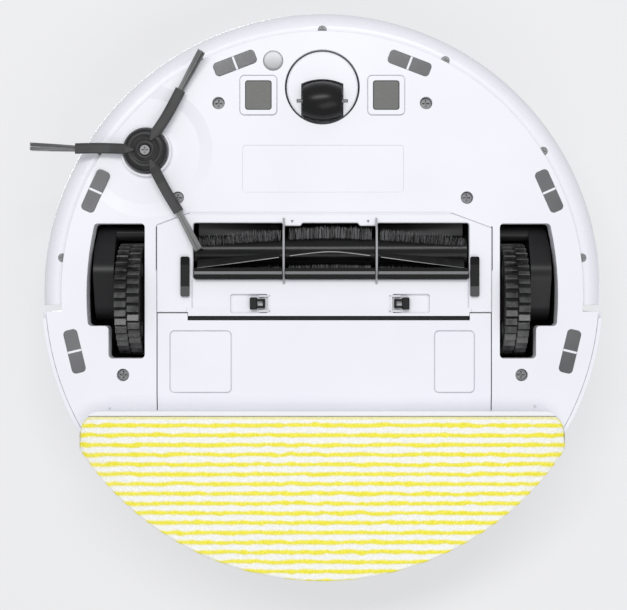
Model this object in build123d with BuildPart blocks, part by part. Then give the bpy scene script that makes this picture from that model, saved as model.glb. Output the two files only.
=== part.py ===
"""Robot vacuum cleaner with a rear tank and mop, as separate pieces in one frame.

Millimetres. +Z is up, the bumper faces -Y and the mop is at +Y. The origin is on
the floor, under the vertical axis of the round body.
"""

from build123d import *
from math import cos, radians, sin, sqrt
import os

os.makedirs("parts", exist_ok=True)

# ---------------------------------------------------------------- driving dimensions
body_radius = 175.0
shell_wall = 2.5
plate_bottom = 11.0
plate_top = 14.0
plate_thickness = plate_top - plate_bottom
front_plate_radius = 161.5
rear_shell_radius = 174.0
rear_plate_radius = rear_shell_radius - shell_wall - 0.3
rear_shell_start_y = 16.0
deck_bottom = 77.5
deck_top = 80.0
overall_height = 97.0
gap = 0.3
beyond = 400.0  # wider than the whole body, for sketches that only cut

# Suction head. The guard and the tank share one width, a little right of centre.
guard_left = -102.2
guard_right = 104.6
guard_front = -48.5
guard_rear = 14.8
guard_side_rear = 12.5
guard_step_left = -83.0
guard_step_right = 91.0
guard_front_left = -83.0
guard_front_right = 80.5
guard_left_corner_y = -41.4
guard_right_corner_y = -39.6
guard_middle = (guard_left + guard_right) / 2
guard_width = guard_right - guard_left
guard_bottom = 9.5
guard_top = 13.5
mouth_left = -79.7
mouth_right = 90.7
mouth_front = -42.7
mouth_rear = -8.0
brush_y = -25.5
brush_z = 20.5
brush_radius = 18.0
brush_core_radius = 10.0
rib_places = (-23.7, 33.4)
rib_width = 1.2

# Tank, mop plate and mop pad.
tank_front = 17.5
tank_side_front = 13.1
tank_bottom = plate_bottom
tank_top = 60.0
tank_wall = 2.0
crease_y = 71.5
crease_radius = 26.0
crease_half = 131.0
crease_z = plate_bottom - crease_radius + 1.1
mop_front = 73.0
pad_front = 76.3
pad_radius = 176.8
pad_half_width = 148.3
pad_thickness = 3.0

# Drive wheels.
wheel_x = 120.0
wheel_y = 4.5
wheel_radius = 35.5
tyre_width = 15.6
well_inner_x = 109.8
well_outer_x = 145.8
well_step_x = 132.2
well_front = -42.4
well_rear = 41.1
well_step_y = 21.0
well_side_radius = 200.0
well_side_y = 2.0
well_top = 73.5
skirt_top = 23.0
pivot_y = -37.0
pivot_z = 30.0
pivot_radius = 2.5
barrel_radius = 4.7
rim_radius = 30.0
hub_half_width = 5.0
wheel_shaft_radius = 3.0
coil_x = 136.0
coil_y = -6.0
running_clearance = 0.06

# Caster.
caster_y = -126.8
caster_recess_radius = 23.2
caster_recess_depth = 20.0
caster_pin_radius = 4.0
caster_axle_radius = 1.5
caster_wheel_y = -118.2
caster_wheel_radius = 12.25
caster_slot_half = 13.0
caster_axle_half = 15.4

# Side brush.
side_brush_x = -108.9
side_brush_y = -87.2
side_brush_reach = 70.0
dish_radius = 41.0
dish_floor_radius = 33.0
dish_depth = 1.6
ring_height = 1.4
hub_radius = 13.5
hub_bottom = 4.0
hub_top = 10.4
brush_shaft_radius = 3.5
rubber_reach = 43.0
arm_bottom = 5.7
arm_start = 8.2
arm_angles = (181.4, -59.8, 61.5)

# Lidar turret, at the rear of the brush.
lidar_y = 30.0
lidar_rotor_radius = 34.0
lidar_pulley_radius = 6.0
lidar_motor_y = -22.0
lidar_pin_radius = 6.0
lidar_cap_bottom = 93.0
lidar_cap_radius = 42.0
belt_z = 68.5
belt_width = 3.0
groove_bottom = belt_z - 0.4
groove_width = belt_width + 0.8

# Fan, behind the right wheel.
fan_x = 127.0
fan_y = 78.0
fan_radius = 20.5
fan_floor = plate_top + 3.0
fan_disc_z = 42.5
fan_disc_thickness = 1.6

front_screw = (64.2, -116.9)
middle_screw = (89.5, -58.4)
rear_screw = (123.3, 51.3)
right_screw_places = (front_screw, middle_screw, rear_screw)
chassis_screw_places = [(side * x, y) for side in (-1, 1) for x, y in right_screw_places]
cliff_right_places = ((54.0, -141.6), (140.3, -62.5), (153.2, 36.7))
cliff_places = [(side * x, y) for side in (-1, 1) for x, y in cliff_right_places]
cliff_length = 27.0
cliff_width = 8.5
cliff_corner = 2.5
cliff_divider = 1.4
bumper_screw_angles = (-82.5, -57.5, -28.0, 0.0, 28.0, 57.5, 82.5)
bumper_screw_radius = 162.8
contact_places = [(-39.5, -121.7), (39.5, -121.7)]
contact_frame_height = 0.8
lens_place = (-30.4, -143.1)
lens_hole_radius = 6.2
button_places = {"power_button": (-13.0, -104.0), "home_button": (13.0, -104.0)}


# ---------------------------------------------------------------- shared outlines
def tangent_location(x, y):
    """A place on the plate, with its local X along the circle through it."""
    turn = Vector(x, y).get_angle(Vector(0, -1))
    return Location((x, y, 0), (0, 0, turn if x > 0 else -turn))


def guard_outline(grow):
    """The guard's outline, grown on every side: cut front corners, and a wider middle behind."""
    with BuildSketch() as outline:
        with BuildLine():
            Polyline(
                (guard_left - grow, guard_side_rear + grow),
                (guard_left - grow, guard_left_corner_y - grow / 2),
                (guard_front_left, guard_front - grow),
                (guard_front_right, guard_front - grow),
                (guard_right + grow, guard_right_corner_y - grow / 2),
                (guard_right + grow, guard_side_rear + grow),
                (guard_step_right + grow, guard_side_rear + grow),
                (guard_step_right + grow, guard_rear + grow),
                (guard_step_left - grow, guard_rear + grow),
                (guard_step_left - grow, guard_side_rear + grow),
                close=True,
            )
        make_face()
    return outline.sketch


def well_outline(side, grow):
    """The plan of a wheel well: a rounded outer side and a step behind the arm."""
    inner = well_inner_x - grow
    with BuildSketch() as outline:
        with Locations((side * (inner + well_outer_x + 5.0) / 2, (well_front + well_step_y) / 2)):
            Rectangle(well_outer_x + 5.0 - inner, well_step_y - well_front + 2 * grow)
        with Locations((side * (well_outer_x - well_side_radius), well_side_y)):
            Circle(well_side_radius + grow, mode=Mode.INTERSECT)
        with Locations((side * (inner + well_step_x + grow) / 2, (well_front + well_rear) / 2)):
            Rectangle(well_step_x - inner + grow, well_rear - well_front + 2 * grow)
        fillet(outline.vertices(), 2.5)
    return outline.sketch


def mop_outline(radius, front, half_width):
    """A half-moon: straight front edge, curved rear, rounded corners."""
    with BuildSketch() as outline:
        Circle(radius)
        with Locations((0, front)):
            Rectangle(2 * half_width, radius, align=(Align.CENTER, Align.MIN), mode=Mode.INTERSECT)
        fillet(outline.vertices(), 8.0)
    return outline.sketch


def tank_outline(inset):
    """The plan of the tank: square in front, on the body's circle behind."""
    left = guard_left + gap + inset
    right = guard_right - gap - inset
    with BuildSketch() as outline:
        Circle(rear_shell_radius - inset)
        with Locations(((left + right) / 2, tank_side_front + inset)):
            Rectangle(right - left, body_radius, align=(Align.CENTER, Align.MIN), mode=Mode.INTERSECT)
        with Locations(((guard_step_left + guard_step_right) / 2, tank_front + inset)):
            Rectangle(
                guard_step_right - guard_step_left + 2 * gap + 2 * inset,
                20.0,
                align=(Align.CENTER, Align.MAX),
                mode=Mode.SUBTRACT,
            )
    return outline.sketch


def polar_point(radius, angle_from_front):
    turn = radians(angle_from_front)
    return (radius * sin(turn), -radius * cos(turn))


# ---------------------------------------------------------------- base plate
with BuildPart() as base_plate:
    with BuildSketch(Plane.XY.offset(plate_bottom)):
        Circle(rear_plate_radius)
        with Locations((0, 12.0)):
            Rectangle(beyond, beyond, align=(Align.CENTER, Align.MIN), mode=Mode.INTERSECT)
        Circle(front_plate_radius)
    extrude(amount=plate_thickness)
    # shallow dished ring around the side brush
    with BuildSketch(Plane.XZ.offset(-side_brush_y)):
        with BuildLine():
            Polyline(
                (side_brush_x, plate_bottom),
                (side_brush_x + dish_radius, plate_bottom),
                (side_brush_x + dish_floor_radius, plate_bottom + dish_depth),
                (side_brush_x, plate_bottom + dish_depth),
                close=True,
            )
        make_face()
    revolve(axis=Axis((side_brush_x, side_brush_y, 0), (0, 0, 1)), mode=Mode.SUBTRACT)
    # caster pocket and its pivot boss
    with BuildSketch(Plane.XY.offset(plate_bottom)):
        with Locations((0, caster_y)):
            Circle(caster_recess_radius + 2.0)
    extrude(amount=caster_recess_depth + 2.0)
    with BuildSketch(Plane.XY.offset(plate_bottom + caster_recess_depth + 2.0)):
        with Locations((0, caster_y)):
            Circle(7.0)
    extrude(amount=11.0)
    with BuildSketch(Plane.XY.offset(plate_bottom)):
        with Locations((0, caster_y)):
            Circle(caster_recess_radius)
    extrude(amount=caster_recess_depth, mode=Mode.SUBTRACT)
    with BuildSketch(Plane.XY.offset(plate_bottom)):
        with Locations((0, caster_y)):
            Circle(caster_pin_radius + running_clearance)
    extrude(amount=caster_recess_depth + 13.0, mode=Mode.SUBTRACT)
    # openings for the wheels, the guard and the tank
    with BuildSketch(Plane.XY.offset(plate_bottom)):
        add(well_outline(-1, 0))
        add(well_outline(1, 0))
        add(guard_outline(gap))
        with Locations((guard_middle, guard_side_rear)):
            Rectangle(guard_width + 2 * gap, body_radius, align=(Align.CENTER, Align.MIN))
    extrude(amount=plate_thickness, mode=Mode.SUBTRACT)
    # finger gaps at both sides of the guard
    with BuildSketch(Plane.XY.offset(plate_bottom)):
        with Locations((guard_left - gap, -27.0), (guard_right + gap, -27.0)):
            Rectangle(0.9, 27.0)
    extrude(amount=plate_thickness, mode=Mode.SUBTRACT)
    # light skirts around the wheel wells
    for side in (-1, 1):
        with BuildSketch(Plane.XY.offset(plate_top)):
            add(well_outline(side, 1.4))
            add(well_outline(side, 0), mode=Mode.SUBTRACT)
        extrude(amount=skirt_top - plate_top)
    # slots of the cliff sensors, the side brush shaft and the round lens
    with BuildSketch(Plane.XY.offset(plate_bottom)):
        for x, y in cliff_places:
            with Locations(tangent_location(x, y)):
                RectangleRounded(cliff_length + gap, cliff_width + gap, cliff_corner + gap / 2)
        with Locations((side_brush_x, side_brush_y)):
            Circle(5.0)
        with Locations(lens_place):
            Circle(lens_hole_radius)
    extrude(amount=plate_thickness, mode=Mode.SUBTRACT)
    # raised frames around the charging contacts, each with a shallow seat
    with BuildSketch(Plane.XY.offset(plate_bottom - contact_frame_height)):
        with Locations(*contact_places):
            RectangleRounded(22.4, 24.0, 2.6)
            RectangleRounded(16.4, 18.2, 1.7, mode=Mode.SUBTRACT)
    extrude(amount=contact_frame_height)
    # fine grooves around those frames
    with BuildSketch(Plane.XY.offset(plate_bottom)):
        with Locations(*contact_places):
            RectangleRounded(23.4, 25.0, 3.1)
            RectangleRounded(22.4, 24.0, 2.6, mode=Mode.SUBTRACT)
    extrude(amount=0.8, mode=Mode.SUBTRACT)
    # raised ring around the side brush hub
    with BuildSketch(Plane.XY.offset(plate_bottom - ring_height)):
        with Locations((side_brush_x, side_brush_y)):
            Circle(hub_radius + 2.3)
            Circle(hub_radius + 0.9, mode=Mode.SUBTRACT)
    extrude(amount=ring_height + dish_depth)
    # very shallow blank label place ahead of the guard
    with BuildSketch(Plane.XY.offset(plate_bottom)):
        with Locations((0.5, -76.3)):
            RectangleRounded(99.5, 29.0, 2.0)
    extrude(amount=0.25, mode=Mode.SUBTRACT)
    with BuildSketch(Plane.XY.offset(plate_bottom)):
        with Locations(*contact_places):
            RectangleRounded(16.4, 18.2, 1.7)
    extrude(amount=1.0, mode=Mode.SUBTRACT)
    # screw bosses with deep round recesses
    with BuildSketch(Plane.XY.offset(plate_top)):
        with Locations(*chassis_screw_places):
            Circle(5.2)
    extrude(amount=6.0)
    with BuildSketch(Plane.XY.offset(plate_bottom)):
        with Locations(*chassis_screw_places):
            Circle(3.85)
    extrude(amount=6.0, mode=Mode.SUBTRACT)
    with BuildSketch(Plane.XY.offset(plate_bottom)):
        with Locations(*chassis_screw_places):
            Circle(1.75)
    extrude(amount=9.0, mode=Mode.SUBTRACT)
    # hollow crease in front of the mop, fading out at both ends
    with BuildSketch(Plane.YZ.offset(-crease_half)):
        with Locations((crease_y, crease_z)):
            Circle(crease_radius)
    extrude(amount=2 * crease_half, mode=Mode.SUBTRACT)
    with Locations((-crease_half, crease_y, crease_z), (crease_half, crease_y, crease_z)):
        Sphere(crease_radius, mode=Mode.SUBTRACT)
base_plate.part.label = "base_plate"
export_step(base_plate.part, "parts/base_plate.step")

# ---------------------------------------------------------------- upper shell
front_wall_radius = 157.7
front_wall_y = 6.0
side_post_front = 12.4
with BuildPart() as upper_shell:
    with BuildSketch(Plane.XY.offset(deck_bottom)):
        Circle(rear_shell_radius)
    extrude(amount=deck_top - deck_bottom)
    fillet(upper_shell.edges().group_by(Axis.Z)[-1], 1.6)
    # rear side wall
    with BuildSketch(Plane.XY.offset(plate_bottom + 0.5)):
        Circle(rear_shell_radius)
        Circle(rear_shell_radius - shell_wall, mode=Mode.SUBTRACT)
        with Locations((0, rear_shell_start_y)):
            Rectangle(beyond, beyond, align=(Align.CENTER, Align.MIN), mode=Mode.INTERSECT)
    extrude(amount=deck_bottom - plate_bottom)
    # front inner wall, which closes the electronics bay behind the bumper
    with BuildSketch(Plane.XY.offset(plate_top + 2.0)):
        with Locations((0, front_wall_y)):
            Circle(front_wall_radius)
            Circle(front_wall_radius - 2.2, mode=Mode.SUBTRACT)
        with Locations((0, side_post_front + 2.0)):
            Rectangle(beyond, beyond, align=(Align.CENTER, Align.MAX), mode=Mode.INTERSECT)
    extrude(amount=deck_bottom - plate_top - 2.0)
    # side posts that join the front wall to the rear wall, clear of the pressed bumper's ends
    with BuildSketch(Plane.XY.offset(plate_top + 2.0)):
        with Locations((-164.5, side_post_front), (164.5, side_post_front)):
            Rectangle(18.0, 5.6, align=(Align.CENTER, Align.MIN))
    extrude(amount=deck_bottom - plate_top - 2.0)
    # the caster pocket takes the place of the wall there
    with BuildSketch(Plane.XY.offset(plate_top)):
        with Locations((0, caster_y)):
            Circle(caster_recess_radius + 2.4)
    extrude(amount=plate_bottom + caster_recess_depth + 2.4 - plate_top, mode=Mode.SUBTRACT)
    # screw posts under the deck
    with BuildSketch(Plane.XY.offset(plate_top + 6.5)):
        with Locations(*chassis_screw_places):
            Circle(4.2)
            Circle(1.55, mode=Mode.SUBTRACT)
    extrude(amount=deck_bottom - plate_top - 6.5)
    # rear doorway for the tank
    with BuildSketch(Plane.XY.offset(plate_bottom)):
        with Locations((guard_middle, 60.0)):
            Rectangle(guard_width + 2 * gap, body_radius, align=(Align.CENTER, Align.MIN))
    extrude(amount=tank_top + 1.0 - plate_bottom, mode=Mode.SUBTRACT)
    # lidar opening and the holes of the two buttons
    with BuildSketch(Plane.XY.offset(deck_bottom)):
        with Locations((0, lidar_y)):
            Circle(36.0)
        with Locations(*button_places.values()):
            Circle(7.4)
    extrude(amount=5.0, mode=Mode.SUBTRACT)
    # exhaust slots beside the fan
    for row in range(5):
        with BuildSketch(Plane.XY.offset(26.0 + 7.0 * row)):
            with PolarLocations(rear_shell_radius - 1.0, 4, 24.0, 18.0, True):
                Rectangle(8.0, 11.0)
        extrude(amount=2.6, mode=Mode.SUBTRACT)
upper_shell.part.label = "upper_shell"
export_step(upper_shell.part, "parts/upper_shell.step")

# ---------------------------------------------------------------- top cover
with BuildPart() as top_cover:
    with BuildSketch(Plane.XY.offset(deck_top)):
        Circle(168.0)
        with Locations((0, lidar_y)):
            Circle(43.0, mode=Mode.SUBTRACT)
        with Locations(*button_places.values()):
            Circle(7.4, mode=Mode.SUBTRACT)
    extrude(amount=2.0)
    fillet(top_cover.edges().group_by(Axis.Z)[-1].sort_by(SortBy.LENGTH)[-1], 1.2)
top_cover.part.label = "top_cover"
export_step(top_cover.part, "parts/top_cover.step")

# ---------------------------------------------------------------- bumper
bumper_bottom = 14.7
bumper_top = 75.5
bumper_end_y = 8.0
window_bottom = 46.0
window_top = 62.0
with BuildPart() as bumper:
    with BuildSketch(Plane.XZ):
        with BuildLine():
            l1 = Line((159.6, bumper_bottom), (164.5, bumper_bottom))
            s1 = Spline(
                l1 @ 1, (body_radius, 27.0), tangents=((1, 0), (0, 1)), tangent_scalars=(0.8, 1.0)
            )
            l2 = Line(s1 @ 1, (body_radius, bumper_top - 4.0))
            a1 = RadiusArc(l2 @ 1, (body_radius - 4.0, bumper_top), -4.0)
            l3 = Line(a1 @ 1, (166.0, bumper_top))
            l4 = Line(l3 @ 1, (166.0, bumper_top - 2.2))
            l5 = Line(l4 @ 1, (170.6, bumper_top - 2.2))
            a2 = RadiusArc(l5 @ 1, (body_radius - shell_wall, bumper_top - 4.1), 1.9)
            l6 = Line(a2 @ 1, (body_radius - shell_wall, 27.4))
            s2 = Spline(
                l6 @ 1,
                (164.5, bumper_bottom + 2.4),
                tangents=((0, -1), (-1, 0)),
                tangent_scalars=(1.0, 0.8),
            )
            l7 = Line(s2 @ 1, (159.6, bumper_bottom + 2.4))
            Line(l7 @ 1, l1 @ 0)
        make_face()
    revolve(axis=Axis.Z)
    with BuildSketch(Plane.XY):
        with Locations((0, bumper_end_y)):
            Rectangle(beyond, beyond, align=(Align.CENTER, Align.MIN))
    extrude(amount=100.0, mode=Mode.SUBTRACT)
    # screw bosses on the bottom flange
    for angle in bumper_screw_angles:
        with BuildSketch(Plane.XY.offset(bumper_bottom + 1.2)):
            with Locations(polar_point(bumper_screw_radius + 0.5, angle)):
                Circle(3.0)
        extrude(amount=5.0)
        with BuildSketch(Plane.XY.offset(bumper_bottom)):
            with Locations(polar_point(bumper_screw_radius, angle)):
                Circle(2.7)
        extrude(amount=1.2, mode=Mode.SUBTRACT)
        with BuildSketch(Plane.XY.offset(bumper_bottom)):
            with Locations(polar_point(bumper_screw_radius, angle)):
                Circle(1.3)
        extrude(amount=6.0, mode=Mode.SUBTRACT)
    # slot of the infrared window
    with BuildSketch(Plane.XY.offset(window_bottom)):
        Circle(body_radius + 1.0)
        Circle(body_radius - shell_wall - 1.0, mode=Mode.SUBTRACT)
        with Locations((0, -126.0)):
            Rectangle(beyond, beyond, align=(Align.CENTER, Align.MAX), mode=Mode.INTERSECT)
    extrude(amount=window_top - window_bottom, mode=Mode.SUBTRACT)
bumper.part.label = "bumper"
export_step(bumper.part, "parts/bumper.step")

with BuildPart() as bumper_window:
    with BuildSketch(Plane.XY.offset(window_bottom + 0.1)):
        Circle(body_radius - 0.2)
        Circle(body_radius - shell_wall + 0.1, mode=Mode.SUBTRACT)
        with Locations((0, -126.2)):
            Rectangle(beyond, beyond, align=(Align.CENTER, Align.MAX), mode=Mode.INTERSECT)
    extrude(amount=window_top - window_bottom - 0.2)
bumper_window.part.label = "bumper_window"
export_step(bumper_window.part, "parts/bumper_window.step")

# Two return springs between the front wall and the bumper.
spring_x = 70.0
spring_z = 36.0
spring_start = -sqrt((body_radius - shell_wall) ** 2 - (spring_x + 4.5) ** 2) + 0.6
spring_end = front_wall_y - sqrt(front_wall_radius**2 - (spring_x - 4.5) ** 2) - 0.6
spring_solids = []
for side in (-1, 1):
    with BuildPart() as spring:
        with BuildLine() as coil:
            Helix(
                pitch=3.4,
                height=spring_end - spring_start,
                radius=3.6,
                center=(side * spring_x, spring_start, spring_z),
                direction=(0, 1, 0),
            )
        with BuildSketch(Plane(origin=coil.line @ 0, z_dir=coil.line % 0)):
            Circle(0.45)
        sweep()
    spring_solids.append(spring.part.solid())
bumper_springs = Compound(children=spring_solids, label="bumper_springs")
export_step(bumper_springs, "parts/bumper_springs.step")


# ---------------------------------------------------------------- screws
def phillips_screw(x, y, head_bottom, head_radius, head_height, shank_radius, shank_length):
    """A round-headed screw, head down, with a cross recess."""
    with BuildPart() as screw:
        with BuildSketch(Plane.XY.offset(head_bottom)):
            with Locations((x, y)):
                Circle(head_radius)
        extrude(amount=head_height)
        with BuildSketch(Plane.XY.offset(head_bottom + head_height)):
            with Locations((x, y)):
                Circle(shank_radius)
        extrude(amount=shank_length)
        with BuildSketch(Plane.XY.offset(head_bottom)):
            with Locations((x, y)):
                Rectangle(head_radius * 1.3, head_radius * 0.28)
                Rectangle(head_radius * 0.28, head_radius * 1.3)
        extrude(amount=head_height * 0.55, mode=Mode.SUBTRACT)
    return screw.part.solid()


chassis_screws = Compound(
    label="chassis_screws",
    children=[phillips_screw(x, y, 14.4, 3.4, 2.6, 1.45, 14.0) for x, y in chassis_screw_places],
)
export_step(chassis_screws, "parts/chassis_screws.step")

bumper_screws = Compound(
    label="bumper_screws",
    children=[
        phillips_screw(*polar_point(bumper_screw_radius, angle), bumper_bottom + 0.1, 2.5, 1.1, 1.15, 4.2)
        for angle in bumper_screw_angles
    ],
)
export_step(bumper_screws, "parts/bumper_screws.step")

# ---------------------------------------------------------------- contacts, sensors, lens
with BuildPart() as charging_contacts:
    with BuildSketch(Plane.XY.offset(plate_bottom - 0.7)):
        with Locations(*contact_places):
            RectangleRounded(16.0, 17.8, 1.5)
    extrude(amount=1.7)
    chamfer(charging_contacts.edges().group_by(Axis.Z)[0], 0.35)
charging_contacts.part.label = "charging_contacts"
export_step(charging_contacts.part, "parts/charging_contacts.step")

# Each cliff sensor is a pair of windows with a thin white bar between them.
window_depth = 2.0
with BuildPart() as cliff_sensor_frames:
    with BuildSketch(Plane.XY.offset(plate_bottom + window_depth)):
        for x, y in cliff_places:
            with Locations(tangent_location(x, y)):
                RectangleRounded(cliff_length, cliff_width, cliff_corner)
    extrude(amount=plate_thickness - window_depth)
    with BuildSketch(Plane.XY.offset(plate_bottom - 0.1)):
        for x, y in cliff_places:
            with Locations(tangent_location(x, y)):
                Rectangle(cliff_divider, cliff_width)
    extrude(amount=window_depth + 0.1)
cliff_sensor_frames.part.label = "cliff_sensor_frames"
export_step(cliff_sensor_frames.part, "parts/cliff_sensor_frames.step")

with BuildPart() as cliff_sensor_lenses:
    with BuildSketch(Plane.XY.offset(plate_bottom)):
        for x, y in cliff_places:
            with Locations(tangent_location(x, y)):
                RectangleRounded(cliff_length, cliff_width, cliff_corner)
                Rectangle(cliff_divider + 0.1, cliff_width, mode=Mode.SUBTRACT)
    extrude(amount=window_depth)
cliff_sensor_lenses.part.label = "cliff_sensor_lenses"
export_step(cliff_sensor_lenses.part, "parts/cliff_sensor_lenses.step")

with BuildPart() as ir_lens:
    with BuildSketch(Plane.XY.offset(plate_bottom - 0.6)):
        with Locations(lens_place):
            Circle(lens_hole_radius - 0.15)
    extrude(amount=plate_thickness + 0.6)
    fillet(ir_lens.edges().group_by(Axis.Z)[0], 1.4)
ir_lens.part.label = "ir_lens"
export_step(ir_lens.part, "parts/ir_lens.step")

# ---------------------------------------------------------------- battery and main board
battery_place = (14.0, -77.0)
battery_height = 41.0
with BuildPart() as battery_pack:
    with BuildSketch(Plane.XY.offset(plate_top + 1.0)):
        with Locations(battery_place):
            Rectangle(140.0, 42.0)
    extrude(amount=battery_height)
    fillet(battery_pack.edges().filter_by(Axis.X), 9.0)
battery_pack.part.label = "battery_pack"
export_step(battery_pack.part, "parts/battery_pack.step")

board_z = 60.0
with BuildPart() as main_board:
    with BuildSketch(Plane.XY.offset(board_z)):
        with Locations((0, -86.0)):
            Rectangle(116.0, 56.0)
    extrude(amount=1.6)
    with BuildSketch(Plane.XY.offset(board_z + 1.6)):
        with Locations((-30.0, -80.0)):
            Rectangle(18.0, 18.0)
        with Locations((22.0, -78.0)):
            Rectangle(12.0, 12.0)
    extrude(amount=1.4)
    with BuildSketch(Plane.XY.offset(board_z + 1.6)):
        with Locations(*button_places.values()):
            Rectangle(6.0, 6.0)
    extrude(amount=3.4)
main_board.part.label = "main_board"
export_step(main_board.part, "parts/main_board.step")

# ---------------------------------------------------------------- buttons on the deck
for button_name, place in button_places.items():
    with BuildPart() as button:
        with BuildSketch(Plane.XY.offset(deck_bottom - 0.5)):
            with Locations(place):
                Circle(7.0)
        extrude(amount=6.0)
        fillet(button.edges().group_by(Axis.Z)[-1], 0.8)
        with BuildSketch(Plane.XY.offset(board_z + 6.6)):
            with Locations(place):
                Circle(2.0)
        extrude(amount=deck_bottom - board_z - 7.1)
    button.part.label = button_name
    export_step(button.part, "parts/" + button_name + ".step")

# ---------------------------------------------------------------- fan
with BuildPart() as fan_housing:
    with BuildSketch(Plane.XY.offset(fan_floor - 2.0)):
        with Locations((fan_x, fan_y)):
            Circle(fan_radius)
    extrude(amount=47.0)
    with BuildSketch(Plane.XY.offset(fan_floor)):
        with Locations((fan_x, fan_y)):
            Circle(fan_radius - 1.8)
    extrude(amount=43.0, mode=Mode.SUBTRACT)
    # inlet from the tank's side and outlet towards the exhaust slots
    with BuildSketch(Plane.YZ.offset(fan_x - fan_radius - 1.0)):
        with Locations((fan_y, 47.0)):
            Rectangle(16.0, 9.0)
    extrude(amount=8.0, mode=Mode.SUBTRACT)
    with BuildSketch(Plane.YZ.offset(fan_x + 10.0)):
        with Locations((fan_y, 30.0)):
            Rectangle(20.0, 20.0)
    extrude(amount=14.0, mode=Mode.SUBTRACT)
fan_housing.part.label = "fan_housing"
export_step(fan_housing.part, "parts/fan_housing.step")

with BuildPart() as fan_motor:
    with BuildSketch(Plane.XY.offset(fan_floor)):
        with Locations((fan_x, fan_y)):
            Circle(12.5)
    extrude(amount=24.0)
    fillet(fan_motor.edges().group_by(Axis.Z)[-1], 1.5)
fan_motor.part.label = "fan_motor"
export_step(fan_motor.part, "parts/fan_motor.step")

with BuildPart() as fan_impeller:
    with BuildSketch(Plane.XY.offset(fan_disc_z)):
        with Locations((fan_x, fan_y)):
            Circle(16.5)
    extrude(amount=fan_disc_thickness)
    with BuildSketch(Plane.XY.offset(fan_disc_z + fan_disc_thickness)):
        with Locations((fan_x, fan_y)):
            Circle(4.5)
    extrude(amount=9.0)
    # nine swept blades
    with BuildSketch(Plane.XY.offset(fan_disc_z + fan_disc_thickness)):
        with Locations((fan_x, fan_y)):
            with PolarLocations(10.0, 9):
                with Locations(Rotation(0, 0, 35)):
                    Rectangle(12.5, 1.1)
    extrude(amount=8.0)
fan_impeller.part.label = "fan_impeller"
export_step(fan_impeller.part, "parts/fan_impeller.step")

# ---------------------------------------------------------------- brush chamber
chamber_radius = 20.0
chamber_left = -82.0
chamber_right = 92.5
brush_shaft_end = -90.0
duct_left = -34.0
duct_right = 44.0
duct_bottom = 20.0
duct_top = 34.0
with BuildPart() as brush_chamber:
    with BuildSketch(Plane.YZ.offset(chamber_left)):
        with Locations((brush_y, brush_z)):
            Circle(chamber_radius + 2.0)
        with Locations((brush_y, brush_z - 6.0)):
            Rectangle(2 * chamber_radius + 4.0, 12.0)
        with Locations((brush_y, plate_top + 0.2)):
            Rectangle(beyond, beyond, align=(Align.CENTER, Align.MIN), mode=Mode.INTERSECT)
    extrude(amount=chamber_right - chamber_left)
    with BuildSketch(Plane.YZ.offset(chamber_left + 2.0)):
        with Locations((brush_y, brush_z)):
            Circle(chamber_radius)
        with Locations((brush_y, brush_z - 6.0)):
            Rectangle(2 * chamber_radius, 13.0)
    extrude(amount=chamber_right - chamber_left - 4.0, mode=Mode.SUBTRACT)
    # holes in the end walls for the brush's drive end and its bearing
    with BuildSketch(Plane.YZ.offset(chamber_left - 1.0)):
        with Locations((brush_y, brush_z)):
            Circle(4.0 + running_clearance)
    extrude(amount=chamber_right - chamber_left + 2.0, mode=Mode.SUBTRACT)
    # duct to the dust inlet of the tank
    with BuildSketch(Plane.XZ.offset(-(brush_y + chamber_radius - 1.0))):
        with Locations(((duct_left + duct_right) / 2, (duct_bottom + duct_top) / 2)):
            Rectangle(duct_right - duct_left + 4.0, duct_top - duct_bottom + 4.0)
    extrude(amount=-(tank_front - 0.4 - brush_y - chamber_radius + 1.0))
    with BuildSketch(Plane.XZ.offset(-(brush_y + chamber_radius - 6.0))):
        with Locations(((duct_left + duct_right) / 2, (duct_bottom + duct_top) / 2)):
            Rectangle(duct_right - duct_left, duct_top - duct_bottom)
    extrude(amount=-(tank_front - brush_y - chamber_radius + 7.0), mode=Mode.SUBTRACT)
brush_chamber.part.label = "brush_chamber"
export_step(brush_chamber.part, "parts/brush_chamber.step")

brush_motor_place = (brush_y - 4.0, 58.0)
gearbox_left = -105.0
gearbox_width = 22.6
with BuildPart() as brush_gearbox:
    with BuildSketch(Plane.YZ.offset(gearbox_left)):
        with Locations((brush_y, brush_z)):
            Circle(6.2)
        with Locations(brush_motor_place):
            Circle(13.0)
        make_hull()
        with Locations((brush_y, plate_top + 0.5)):
            Rectangle(beyond, beyond, align=(Align.CENTER, Align.MIN), mode=Mode.INTERSECT)
    extrude(amount=gearbox_width)
    with BuildSketch(Plane.YZ.offset(brush_shaft_end - 2.0)):
        with Locations((brush_y, brush_z)):
            Circle(3.6)
    extrude(amount=10.0, mode=Mode.SUBTRACT)
brush_gearbox.part.label = "brush_gearbox"
export_step(brush_gearbox.part, "parts/brush_gearbox.step")

brush_motor_left = gearbox_left + gearbox_width + 0.2
brush_motor_length = 38.0
with BuildPart() as brush_motor:
    with BuildSketch(Plane.YZ.offset(brush_motor_left)):
        with Locations(brush_motor_place):
            Circle(12.0)
    extrude(amount=brush_motor_length)
    fillet(brush_motor.edges().group_by(Axis.X)[-1], 2.0)
    with BuildSketch(Plane.YZ.offset(brush_motor_left + brush_motor_length)):
        with Locations(brush_motor_place):
            Circle(3.0)
    extrude(amount=2.0)
brush_motor.part.label = "brush_motor"
export_step(brush_motor.part, "parts/brush_motor.step")

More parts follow.
